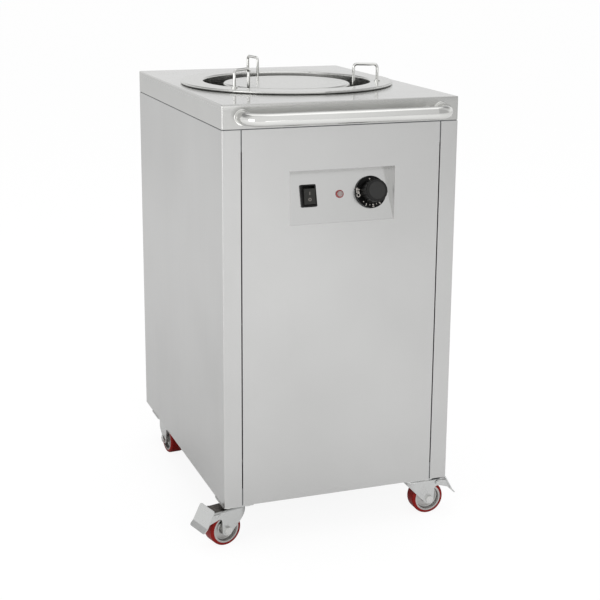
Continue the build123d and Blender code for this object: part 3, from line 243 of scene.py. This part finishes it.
def mottled(name, constants, patch, detail, tones, roughness, spread=(0, 1), pits=None):
    """A finish whose colour and roughness, and pits where given, vary in patches of one size."""
    material, tree, shader, place = new_finish(name, constants)
    noise = add(tree, "ShaderNodeTexNoise", {"Vector": place, "Scale": 1 / patch, "Detail": detail})
    patches = noise.outputs["Fac"]
    colours = add(tree, "ShaderNodeValToRGB", {"Fac": patches})
    for stop, position, tone in zip(colours.color_ramp.elements, spread, tones):
        stop.position = position
        stop.color = linear(tone)
    dulling = add(
        tree,
        "ShaderNodeMapRange",
        {"Value": patches, "To Min": roughness[0], "To Max": roughness[1]},
    )
    tree.links.new(colours.outputs["Color"], shader.inputs["Base Color"])
    tree.links.new(dulling.outputs["Result"], shader.inputs["Roughness"])
    if pits:
        bump = add(
            tree,
            "ShaderNodeBump",
            {"Height": patches, "Strength": pits[0], "Distance": pits[1]},
        )
        tree.links.new(bump.outputs["Normal"], shader.inputs["Normal"])
    return material


mirror = mottled(
    "mirror_polished_stainless",
    {"Metallic": 1},
    patch=smear,
    detail=5,
    tones=("#dededb", "#e8e8e6"),
    roughness=(0.05, 0.12),
)
dress(mirror, "handle_bar", "handle_rosettes", "plate_guide_1", "plate_guide_2", "plate_guide_3")

# Rocker switch, thermostat and terminals
# Black mouldings with a fine spark-eroded texture from the mould, which takes the shine off them.
# The rocker is painted a greyer black than the surround that it tips in, as painted light on its
# upturned face.
eroded = 0.0006  # the real texture is about half of this
eroded_pits = (0.3, 0.0001)  # their strength and their depth
moulding = {"IOR": 1.5, "Specular IOR Level": 0.25}
moulding_roughness = (0.35, 0.55)
black = mottled(
    "black_moulded_plastic",
    moulding,
    patch=eroded,
    detail=2,
    tones=("#0a0a0a", "#141414"),
    roughness=moulding_roughness,
    pits=eroded_pits,
)
dress(black, "switch_housing", "thermostat_body", "terminal_block", "cable_gland")
# Painted light: the same black moulding, painted greyer for the light the rocker's upturned face
# catches.
rocker_painted_lit = mottled(
    "black_moulding_painted_lit",
    moulding,
    patch=eroded,
    detail=2,
    tones=("#242423", "#32322f"),
    roughness=moulding_roughness,
    pits=eroded_pits,
)
dress(rocker_painted_lit, "switch_rocker")

# Rocker marks
# The I and O printed on the two facets of the rocker in off-white ink.
# The ink is thin and patchy, and fingers have rubbed it grey.
ink_patch = 0.0008
ink_spread = (0.25, 0.6)
ink_roughness = (0.4, 0.6)
ink_thick = 0.00012
boldness = 0.00016
letter_share = 0.69  # a letter's height as a share of the type's size
seam = 0.000001
rubbed_ink = mottled(
    "rubbed_pad_printed_ink",
    {"IOR": 1.5},
    patch=ink_patch,
    detail=2,
    tones=("#5a5652", "#8c8782"),
    roughness=ink_roughness,
    spread=ink_spread,
)


def print_mark(words, height, spot, up, out):
    """Prints words of a height on a face, centred on a spot, with their tops along up."""
    bpy.ops.object.select_all(action="DESELECT")
    bpy.ops.object.text_add()
    mark = bpy.context.object
    mark.data.body = words
    mark.data.size = height / letter_share
    mark.data.offset = boldness
    mark.data.extrude = ink_thick / 2
    mark.data.resolution_u = 4
    bpy.ops.object.convert(target="MESH")
    bpy.ops.object.origin_set(type="ORIGIN_GEOMETRY", center="BOUNDS")
    side = up.cross(out)
    mark.matrix_world = Matrix.Translation(spot) @ Matrix((side, up, out)).transposed().to_4x4()
    bpy.ops.object.transform_apply(location=True, rotation=True, scale=True)
    return mark


def join(parts):
    """Joins parts into the first of them, which stays selected."""
    bpy.ops.object.select_all(action="DESELECT")
    for part in parts:
        part.select_set(True)
    bpy.context.view_layer.objects.active = parts[0]
    bpy.ops.object.join()
    return bpy.context.object


def close_seams():
    """Merges the doubles of the active piece and turns its faces outwards."""
    bpy.ops.object.mode_set(mode="EDIT")
    bpy.ops.mesh.select_all(action="SELECT")
    bpy.ops.mesh.remove_doubles(threshold=seam)
    bpy.ops.mesh.normals_make_consistent(inside=False)
    bpy.ops.object.mode_set(mode="OBJECT")


def finish_piece(piece, name, material):
    """Names a piece and gives it its one material."""
    piece.name = name
    piece.data.materials.clear()
    piece.data.materials.append(material)


joints = {joint["name"]: joint for joint in frame["joints"]}
rocker_pivot = Vector(joints["rocker_tilt"]["pos_m"])
fascia_out = Vector(joints["knob_turn"]["axis"])
fascia_side = Vector((1, 0, 0))
rocker_rest = radians(10)
rocker_out = Matrix.Rotation(rocker_rest, 3, "X") @ fascia_out
rocker_up = rocker_out.cross(fascia_side)
rocker_middle = 0.009
facet_slope = radians(4.4)
mark_offset = 0.0049
mark_rise = rocker_middle + mark_offset * tan(facet_slope)
marks = []
for words, height, turn in (("I", 0.0048, 1), ("O", 0.0047, -1)):
    tilt = Matrix.Rotation(turn * facet_slope, 3, "X")
    spot = rocker_pivot + turn * mark_offset * rocker_up + mark_rise * rocker_out
    marks.append(print_mark(words, height, spot, tilt @ rocker_up, tilt @ rocker_out))
rocker_marks = join(marks)
close_seams()
finish_piece(rocker_marks, "rocker_marks", rubbed_ink)
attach(rocker_marks, "rocker")

# Thermostat knob
# One phenolic moulding with a flat skirt and a fluted grip, and a textured disc let into its top.
# The disc is painted greyer than the skirt, as painted light on the matt top face, and the skirt's
# polished mould leaves it glossier.
knob_centre = Vector(joints["knob_turn"]["pos_m"])
disc_low = 0.0288
disc_high = 0.0292
knob_black, tree, shader, place = new_finish(
    "black_phenolic_moulding", {"IOR": 1.6, "Specular IOR Level": 0.12}
)
from_centre = add(tree, "ShaderNodeVectorMath", {0: place, 1: knob_centre}, operation="SUBTRACT")
rise = add(
    tree,
    "ShaderNodeVectorMath",
    {0: from_centre.outputs["Vector"], 1: fascia_out},
    operation="DOT_PRODUCT",
)
on_disc = add(
    tree,
    "ShaderNodeMapRange",
    {"Value": rise.outputs["Value"], "From Min": disc_low, "From Max": disc_high},
)
texture = add(tree, "ShaderNodeTexNoise", {"Vector": place, "Scale": 1 / eroded, "Detail": 2})
ramps = []
# The second pair of tones is painted light on the disc's matt top face.
for dark, pale in (("#050505", "#0b0b0b"), ("#272727", "#3f3f3e")):
    ramp = add(tree, "ShaderNodeValToRGB", {"Fac": texture.outputs["Fac"]})
    ramp.color_ramp.elements[0].color = linear(dark)
    ramp.color_ramp.elements[1].color = linear(pale)
    ramps.append(ramp.outputs["Color"])
tones = add(
    tree,
    "ShaderNodeMix",
    {"Factor": on_disc.outputs["Result"], 6: ramps[0], 7: ramps[1]},
    data_type="RGBA",
)
roughness = add(
    tree,
    "ShaderNodeMapRange",
    {"Value": on_disc.outputs["Result"], "To Min": 0.3, "To Max": 0.5},
)
pits = add(
    tree,
    "ShaderNodeBump",
    {"Height": texture.outputs["Fac"], "Strength": eroded_pits[0], "Distance": eroded_pits[1]},
)
tree.links.new(tones.outputs[2], shader.inputs["Base Color"])
tree.links.new(roughness.outputs["Result"], shader.inputs["Roughness"])
tree.links.new(pits.outputs["Normal"], shader.inputs["Normal"])
dress(knob_black, "control_knob")

# Knob scale
# OFF at the left, the steps 1 to 6 round the bottom and up the right with a dot before each,
# and a larger dot at the top, where the scale ends.
# Printed on the knob's skirt in off-white ink that fingers haven't rubbed.
skirt_face = 0.004
scale_radius = 0.0226
dot_radius = 0.0212
digit_height = 0.0044
dot_type = 0.007  # the height of the letters whose full stops are the dots
end_dot_type = 0.011
first_step = 242
step_angle = 32
fascia_up = fascia_out.cross(fascia_side)
ink = mottled(
    "pad_printed_ink",
    {"IOR": 1.5},
    patch=ink_patch,
    detail=2,
    tones=("#a39c96", "#d3cec8"),
    roughness=ink_roughness,
    spread=ink_spread,
)
scale_words = [("OFF", 0.006, 180, scale_radius), (".", end_dot_type, 92, dot_radius)]
for step in range(6):
    angle = first_step + step * step_angle
    scale_words.append((str(step + 1), digit_height, angle, scale_radius))
    scale_words.append((".", dot_type, angle - step_angle / 2, dot_radius))
marks = []
for words, height, angle, radius in scale_words:
    outward = cos(radians(angle)) * fascia_side + sin(radians(angle)) * fascia_up
    spot = knob_centre + skirt_face * fascia_out + radius * outward
    marks.append(print_mark(words, height, spot, outward, fascia_out))
knob_scale = join(marks)
close_seams()
finish_piece(knob_scale, "knob_scale", ink)
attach(knob_scale, "knob")

# Indicator lamp
# A red polycarbonate bezel pressed into the fascia, with a frosted pale lens in it.
# The moulding's flow leaves faint streaks in both.
streak = 0.003
polycarbonate = {"IOR": 1.58}
lamp_red = mottled(
    "red_polycarbonate",
    polycarbonate,
    patch=streak,
    detail=2,
    tones=("#862a2b", "#9f3a3a"),
    roughness=(0.18, 0.3),
)
dress(lamp_red, "lamp_body")
frosted = mottled(
    "frosted_lens_plastic",
    polycarbonate,
    patch=streak,
    detail=2,
    tones=("#8f8280", "#a39794"),
    roughness=(0.2, 0.35),
)
dress(frosted, "lamp_lens")

# Well ring, well tube and platform
# The spun ring with a rolled rim, the tube that hangs in it and the disc that the plates stand on.
# Stainless turned on a lathe, so the grain runs round the well's axis.
turned = 0.0011  # the real lathe marks are about a fifth of this
spun, tree, shader, place = new_finish("spun_stainless", {"Metallic": 1})
axes = add(tree, "ShaderNodeSeparateXYZ", {"Vector": place})
flat = add(tree, "ShaderNodeCombineXYZ", {"X": axes.outputs["X"], "Y": axes.outputs["Y"]})
radius = add(tree, "ShaderNodeVectorMath", {0: flat.outputs["Vector"]}, operation="LENGTH")
rings = add(
    tree, "ShaderNodeCombineXYZ", {"X": radius.outputs["Value"], "Y": axes.outputs["Z"]}
)
grain = add(
    tree,
    "ShaderNodeTexNoise",
    {"Vector": rings.outputs["Vector"], "Scale": 1 / turned, "Detail": 2},
)
tones = add(tree, "ShaderNodeValToRGB", {"Fac": grain.outputs["Fac"]})
tones.color_ramp.elements[0].color = linear("#d2d2cf")
tones.color_ramp.elements[1].color = linear("#dddddb")
roughness = add(
    tree,
    "ShaderNodeMapRange",
    {"Value": grain.outputs["Fac"], "To Min": 0.16, "To Max": 0.3},
)
tree.links.new(tones.outputs["Color"], shader.inputs["Base Color"])
tree.links.new(roughness.outputs["Result"], shader.inputs["Roughness"])
dress(spun, "well_ring", "well_tube", "platform")

# Lift gear
# The column, the arms and the springs under the platform, of plain bright drawn steel.
# A thin film of oil dulls it in small patches.
oil_patch = 0.002
bright_steel = mottled(
    "bright_drawn_steel",
    {"Metallic": 1},
    patch=oil_patch,
    detail=2,
    tones=("#a9aaab", "#bfc0c1"),
    roughness=(0.25, 0.4),
)
dress(bright_steel, "carrier_column", "lift_arms", "lift_springs")

# Lift springs
# Six close-wound tension springs of round spring wire, in pairs over the ends of the arms.
# Each hangs by a hook on the well's bracket and holds its arm by another. Its turns open as the platform
# sinks, but the coils here are built closed and stay still.
wire = 0.0015
wire_sides = 8
coil_outside = 0.012
coil_middle = coil_outside / 2 - wire / 2
coil_low = 0.592
coil_high = 0.6938
turns = 62
turn_steps = 16
hook_low = 0.5732
hook_high = 0.7066
hook_bend = 0.0012
hook_reach = 0.005
hook_route = (  # from the coil's last turn in to its axis, with z counted past the coil's end
    (coil_middle, 0, -wire / 2),
    (coil_middle, 0.0025, -0.0004),
    (0.0022, 0.0042, 0.0014),
    (0, 0.0012, 0.0034),
    (0, 0, 0.006),
)
round_angle = radians(50)
spring_place = 0.165
spring_offset = 0.015
arm_turns = (157.5, 277.5, 37.5)

bpy.ops.object.select_all(action="DESELECT")
bpy.ops.mesh.primitive_circle_add(
    vertices=wire_sides, radius=wire / 2, fill_type="NGON", rotation=(radians(90), 0, 0)
)
coil = bpy.context.object
bpy.ops.object.transform_apply(location=False, rotation=True, scale=False)
bpy.ops.object.mode_set(mode="EDIT")
bpy.ops.mesh.select_all(action="SELECT")
bpy.ops.transform.translate(value=(coil_middle, 0, coil_low + wire / 2))
bpy.ops.mesh.delete(type="ONLY_FACE")
bpy.ops.object.mode_set(mode="OBJECT")
winding = coil.modifiers.new("winding", "SCREW")
winding.screw_offset = (coil_high - coil_low - wire) / turns
winding.iterations = turns
winding.steps = turn_steps
winding.render_steps = turn_steps
bpy.ops.object.modifier_apply(modifier="winding")
bpy.ops.object.mode_set(mode="EDIT")
bpy.ops.mesh.select_all(action="SELECT")
bpy.ops.mesh.fill_holes(sides=wire_sides)
bpy.ops.object.mode_set(mode="OBJECT")
hooks = []
for coil_end, hook_end, way in ((coil_high, hook_high, 1), (coil_low, hook_low, -1)):
    bpy.ops.object.select_all(action="DESELECT")
    bpy.ops.curve.primitive_nurbs_path_add()
    hook = bpy.context.object
    route = [(x, way * y, coil_end + way * z) for x, y, z in hook_route]
    route.append((0, 0, hook_end - way * hook_bend))
    route.append((0, 0, hook_end))
    route.append((hook_bend, 0, hook_end))
    route.append((hook_reach, 0, hook_end))
    spline = hook.data.splines[0]
    spline.points.add(len(route) - len(spline.points))
    for point, spot in zip(spline.points, route):
        point.co = (*spot, 1)
    spline.use_endpoint_u = True
    spline.resolution_u = 4
    hook.data.bevel_depth = wire / 2
    hook.data.bevel_resolution = 2
    hook.data.use_fill_caps = True
    bpy.ops.object.convert(target="MESH")
    hooks.append(hook)
coil = join([coil, *hooks])
close_seams()
bpy.ops.object.shade_smooth_by_angle(angle=round_angle)
springs = []
for arm_turn in arm_turns:
    for side in (-1, 1):
        bpy.ops.object.select_all(action="DESELECT")
        coil.select_set(True)
        bpy.context.view_layer.objects.active = coil
        bpy.ops.object.duplicate()
        spring = bpy.context.object
        around = Matrix.Rotation(radians(arm_turn), 4, "Z")
        spring.matrix_world = around @ Matrix.Translation((spring_place, side * spring_offset, 0))
        bpy.ops.object.transform_apply(location=True, rotation=True, scale=True)
        springs.append(spring)
bpy.data.objects.remove(coil)
springs = join(springs)
finish_piece(springs, "lift_spring_coils", bright_steel)
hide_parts("lift_springs")
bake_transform(springs)

# Heater and supply
# The mineral-filled heating element, the thermostat's copper capillary and the sleeved wires.
# Annealing leaves a dull bloom on the sheath and the copper, and the sleeves show their braid.
bloom = 0.006
sheath = mottled(
    "annealed_heater_sheath",
    {"Metallic": 1},
    patch=bloom,
    detail=3,
    tones=("#5d5b58", "#7c7a76"),
    roughness=(0.4, 0.6),
)
dress(sheath, "heater_element")
copper = mottled(
    "drawn_copper",
    {"Metallic": 1},
    patch=bloom,
    detail=3,
    tones=("#b8734f", "#d2926d"),
    roughness=(0.25, 0.4),
)
dress(copper, "thermostat_bulb")

braid = 0.0015
sleeve, tree, shader, place = new_finish("braided_glass_sleeve", {"IOR": 1.5})
weave = add(tree, "ShaderNodeTexVoronoi", {"Vector": place, "Scale": 1 / braid})
tones = add(tree, "ShaderNodeValToRGB", {"Fac": weave.outputs["Distance"]})
tones.color_ramp.elements[0].color = linear("#3a3a39")
tones.color_ramp.elements[1].color = linear("#222222")
roughness = add(
    tree,
    "ShaderNodeMapRange",
    {"Value": weave.outputs["Distance"], "To Min": 0.6, "To Max": 0.8},
)
tree.links.new(tones.outputs["Color"], shader.inputs["Base Color"])
tree.links.new(roughness.outputs["Result"], shader.inputs["Roughness"])
dress(sleeve, "wiring")

# Casters
# Plates, forks and brake pedals pressed from steel sheet and plated with bright zinc.
# The flat crowns of the forks are painted dark and blotchy, as painted shade under the cabinet.
plating = 0.012
plate_tones = ("#cfd0cf", "#dadbda")
plate_roughness = (0.22, 0.36)
zinc = mottled(
    "bright_zinc_plate",
    {"Metallic": 1},
    patch=plating,
    detail=3,
    tones=plate_tones,
    roughness=plate_roughness,
)
dress(zinc, "caster_plates", "brake_pedal_front_left", "brake_pedal_front_right")

# Painted shade on the fork crowns, which lie in the cabinet's shadow.
shade_blotch = 0.003
crown_top = 0.064
shade_edge = 0.0006
caster_names = ("front_left", "front_right", "rear_left", "rear_right")
crown_shaded_zinc = mottled(
    "zinc_plate_with_painted_crown_shade",
    {"Metallic": 1},
    patch=plating,
    detail=3,
    tones=plate_tones,
    roughness=plate_roughness,
)
tree = crown_shaded_zinc.node_tree
shader = tree.nodes["Principled BSDF"]
clean = shader.inputs["Base Color"].links[0].from_socket
place = add(tree, "ShaderNodeTexCoord", {}).outputs["Object"]
shade_blotches = add(tree, "ShaderNodeTexNoise", {"Vector": place, "Scale": 1 / shade_blotch, "Detail": 3})
# Painted shade: blotchy dark tones laid on the crowns' tops.
painted_shade = add(tree, "ShaderNodeValToRGB", {"Fac": shade_blotches.outputs["Fac"]})
painted_shade.color_ramp.elements[0].position = 0.3
painted_shade.color_ramp.elements[0].color = linear("#3b3733")
painted_shade.color_ramp.elements[1].position = 0.7
painted_shade.color_ramp.elements[1].color = linear("#86807a")
axes = add(tree, "ShaderNodeSeparateXYZ", {"Vector": place})
on_crown = add(
    tree,
    "ShaderNodeMapRange",
    {"Value": axes.outputs["Z"], "From Min": crown_top - shade_edge, "From Max": crown_top},
)
colour = add(
    tree,
    "ShaderNodeMix",
    {"Factor": on_crown.outputs["Result"], 6: clean, 7: painted_shade.outputs["Color"]},
    data_type="RGBA",
)
tree.links.new(colour.outputs[2], shader.inputs["Base Color"])
dress(crown_shaded_zinc, *[f"caster_fork_{name}" for name in caster_names])

# Bolts, screws and nuts
# Rolled and headed from bar and plated with zinc.
# Tumbling in the barrel left them brighter than the sheet, with fine dents.
dent = 0.0012
bright_zinc = mottled(
    "tumbled_zinc_fasteners",
    {"Metallic": 1},
    patch=dent,
    detail=2,
    tones=("#d8d8d6", "#e4e4e2"),
    roughness=(0.1, 0.2),
)
dress(bright_zinc, *[f"caster_axle_{name}" for name in caster_names])
dress(bright_zinc, "handle_bolts", "guide_nuts", "arm_bolts", "panel_screws")
dress(bright_zinc, "front_panel_bolts", "caster_bolts", "thermostat_spindle")

# Wheels
# A cast and turned aluminium core with a dished face, and a red polyurethane tread cast round it.
# The core keeps a fine grain, and a film of dust takes the shine off the tread.
cast_grain = 0.0025
core_metal = mottled(
    "turned_aluminium",
    {"Metallic": 1},
    patch=cast_grain,
    detail=3,
    tones=("#b9b8b6", "#cfcecc"),
    roughness=(0.25, 0.4),
)
dress(core_metal, *[f"wheel_core_{name}" for name in caster_names])
dust = 0.004
tread_red = mottled(
    "cast_polyurethane",
    {"IOR": 1.5, "Specular IOR Level": 0.12},
    patch=dust,
    detail=3,
    tones=("#7a1512", "#8c1d19"),
    roughness=(0.3, 0.45),
)
dress(tread_red, *[f"wheel_tread_{name}" for name in caster_names])

# Studio
# A plain pale floor that runs out of view, four soft boxes and a white surround.
# The camera sees the floor mostly as a white glow, and the rest as matt paper that keeps the shadow.
# Metal mirrors a greyer floor, with a painted shadow close to the object, painted shade towards the
# right, and painted light and shade in bands from front to rear.
floor_size = 70
floor_seen = 0.85
floor_glow = 1.06
floor_front = -7
floor_rear = 2.5
floor_stops = (0.37, 0.63)
floor_whites = (0.32, 0.195, 0.52, 0.3)
# Painted shadow: the floor that metal mirrors darkens near this middle point, and painted shade darkens
# it towards the right.
painted_shadow_middle = (-0.2, 0.4, 0)
painted_shadow_near = 0.3
painted_shadow_far = 1.9
right_way = (1, 0.4, 0)
right_blend = 0.4
left_gain = 1.95
right_gain = 0.8
bpy.ops.object.select_all(action="DESELECT")
bpy.ops.mesh.primitive_plane_add(size=floor_size)
floor = bpy.context.object
floor.name = "studio_floor"
paper = bpy.data.materials.new("matt_studio_paper")
paper.use_nodes = True
tree = paper.node_tree
tree.nodes.remove(tree.nodes["Principled BSDF"])
rays = add(tree, "ShaderNodeLightPath", {})
place = add(tree, "ShaderNodeTexCoord", {}).outputs["Object"]
axes = add(tree, "ShaderNodeSeparateXYZ", {"Vector": place})
rearwards = add(
    tree,
    "ShaderNodeMapRange",
    {"Value": axes.outputs["Y"], "From Min": floor_front, "From Max": floor_rear},
)
# The mirrored floor's whites paint light and shade in bands from front to rear.
whites = add(tree, "ShaderNodeValToRGB", {"Fac": rearwards.outputs["Result"]})
for position in floor_stops:
    whites.color_ramp.elements.new(position)
for stop, white in zip(whites.color_ramp.elements, floor_whites):
    stop.color = (white, white, white, 1)
distance = add(tree, "ShaderNodeVectorMath", {0: place, 1: painted_shadow_middle}, operation="DISTANCE")
beyond_painted_shadow = add(
    tree,
    "ShaderNodeMapRange",
    {"Value": distance.outputs["Value"], "From Min": painted_shadow_near, "From Max": painted_shadow_far},
)
rightwards = add(tree, "ShaderNodeVectorMath", {0: place, 1: right_way}, operation="DOT_PRODUCT")
side_gain = add(
    tree,
    "ShaderNodeMapRange",
    {
        "Value": rightwards.outputs["Value"],
        "From Min": -right_blend,
        "From Max": right_blend,
        "To Min": left_gain,
        "To Max": right_gain,
    },
)
mirrored = add(
    tree,
    "ShaderNodeMath",
    {0: rays.outputs["Is Glossy Ray"], 1: rays.outputs["Is Transmission Ray"]},
    operation="MAXIMUM",
)
for factor in (
    whites.outputs["Color"],
    beyond_painted_shadow.outputs["Result"],
    side_gain.outputs["Result"],
):
    mirrored = add(
        tree, "ShaderNodeMath", {0: mirrored.outputs["Value"], 1: factor}, operation="MULTIPLY"
    )
share = add(
    tree,
    "ShaderNodeMath",
    {0: rays.outputs["Is Camera Ray"], 1: floor_seen, 2: mirrored.outputs["Value"]},
    operation="MULTIPLY_ADD",
)
matt = add(tree, "ShaderNodeBsdfDiffuse", {"Color": linear("#f2f2f2")})
glow = add(tree, "ShaderNodeEmission", {"Color": linear("#ffffff"), "Strength": floor_glow})
mix = add(
    tree,
    "ShaderNodeMixShader",
    {"Fac": share.outputs["Value"], 1: matt.outputs["BSDF"], 2: glow.outputs["Emission"]},
)
tree.links.new(mix.outputs["Shader"], tree.nodes["Material Output"].inputs["Surface"])
floor.data.materials.append(paper)

# The surround lights dull surfaces evenly, and metal mirrors it greyer overhead at the rear and at the
# front right. The limits are coordinates of the direction, which has a length of 1.
surround_light = 0.66
mirrored_white = 0.88
mirrored_grey = 0.3
overhead_from = 0.25
overhead_to = 0.5
behind_from = -0.2
behind_to = 0.5
front_full = -0.2
front_end = 0.1
front_grey = 0.65
right_from = 0.37
right_to = 0.5
world = bpy.data.worlds.new("studio_surround")
bpy.context.scene.world = world
world.use_nodes = True
tree = world.node_tree
rays = add(tree, "ShaderNodeLightPath", {})
mirrored = add(
    tree,
    "ShaderNodeMath",
    {0: rays.outputs["Is Glossy Ray"], 1: rays.outputs["Is Transmission Ray"]},
    operation="MAXIMUM",
)
place = add(tree, "ShaderNodeTexCoord", {}).outputs["Generated"]
axes = add(tree, "ShaderNodeSeparateXYZ", {"Vector": place})
overhead = add(
    tree,
    "ShaderNodeMapRange",
    {"Value": axes.outputs["Z"], "From Min": overhead_from, "From Max": overhead_to},
)
behind = add(
    tree,
    "ShaderNodeMapRange",
    {"Value": axes.outputs["Y"], "From Min": behind_from, "From Max": behind_to},
)
rear_grey = add(
    tree,
    "ShaderNodeMath",
    {0: overhead.outputs["Result"], 1: behind.outputs["Result"]},
    operation="MULTIPLY",
)
in_front = add(
    tree,
    "ShaderNodeMapRange",
    {
        "Value": axes.outputs["Y"],
        "From Min": front_full,
        "From Max": front_end,
        "To Min": front_grey,
        "To Max": 0,
    },
)
rightwards = add(
    tree,
    "ShaderNodeMapRange",
    {"Value": axes.outputs["X"], "From Min": right_from, "From Max": right_to},
)
right_grey = add(
    tree,
    "ShaderNodeMath",
    {0: in_front.outputs["Result"], 1: rightwards.outputs["Result"]},
    operation="MULTIPLY",
)
grey = add(
    tree,
    "ShaderNodeMath",
    {0: rear_grey.outputs["Value"], 1: right_grey.outputs["Value"]},
    operation="MAXIMUM",
)
sky = add(
    tree,
    "ShaderNodeMapRange",
    {"Value": grey.outputs["Value"], "To Min": mirrored_white, "To Max": mirrored_grey},
)
level = add(
    tree,
    "ShaderNodeMix",
    {"Factor": mirrored.outputs["Value"], 2: surround_light, 3: sky.outputs["Result"]},
)
level = add(
    tree,
    "ShaderNodeMath",
    {0: level.outputs[0], 1: rays.outputs["Is Camera Ray"]},
    operation="MAXIMUM",
)
tree.links.new(level.outputs["Value"], tree.nodes["Background"].inputs["Strength"])
tree.nodes["Background"].inputs["Color"].default_value = linear("#ffffff")

aim = Vector((0, 0, 0.4))
for name, spot, width, height, power, in_mirrors in (
    ("softbox_front", Vector((-0.1, -3.4, 1.6)), 1.0, 1.4, 30, False),
    ("softbox_low", Vector((0.3, -3.4, 0.25)), 1.3, 0.4, 1.3, True),
    ("softbox_left", Vector((-3.2, -1.5, 0.7)), 1.6, 1.8, 20, True),
    ("softbox_top", Vector((0.3, 0.8, 3.2)), 3.0, 2.6, 16, True),
):
    bpy.ops.object.light_add(type="AREA", location=spot)
    lamp = bpy.context.object
    lamp.name = name
    lamp.rotation_euler = (spot - aim).to_track_quat("Z", "Y").to_euler()
    lamp.data.shape = "RECTANGLE"
    lamp.data.size = width
    lamp.data.size_y = height
    lamp.data.energy = power
    lamp.visible_glossy = in_mirrors

# Camera
# The photograph's own view, worked out from the cabinet's corners: three quarters from the left.
# The small shift sets the object as high in the frame as the photograph does.
yaw = radians(20.131)
pitch = radians(13.827)
roll = radians(0.395)
upright = radians(90)
bpy.ops.object.camera_add(location=(-0.7749, -2.1886, 0.9822))
camera = bpy.context.object
turn = Euler((upright - pitch, 0, -yaw)).to_matrix() @ Matrix.Rotation(roll, 3, "Z")
camera.rotation_euler = turn.to_euler()
camera.data.sensor_width = 36
camera.data.lens = 79.24
camera.data.shift_y = -0.0667
camera.data.clip_start = 0.05
camera.data.clip_end = 100
bpy.context.scene.camera = camera
bpy.context.scene.view_settings.view_transform = "Standard"
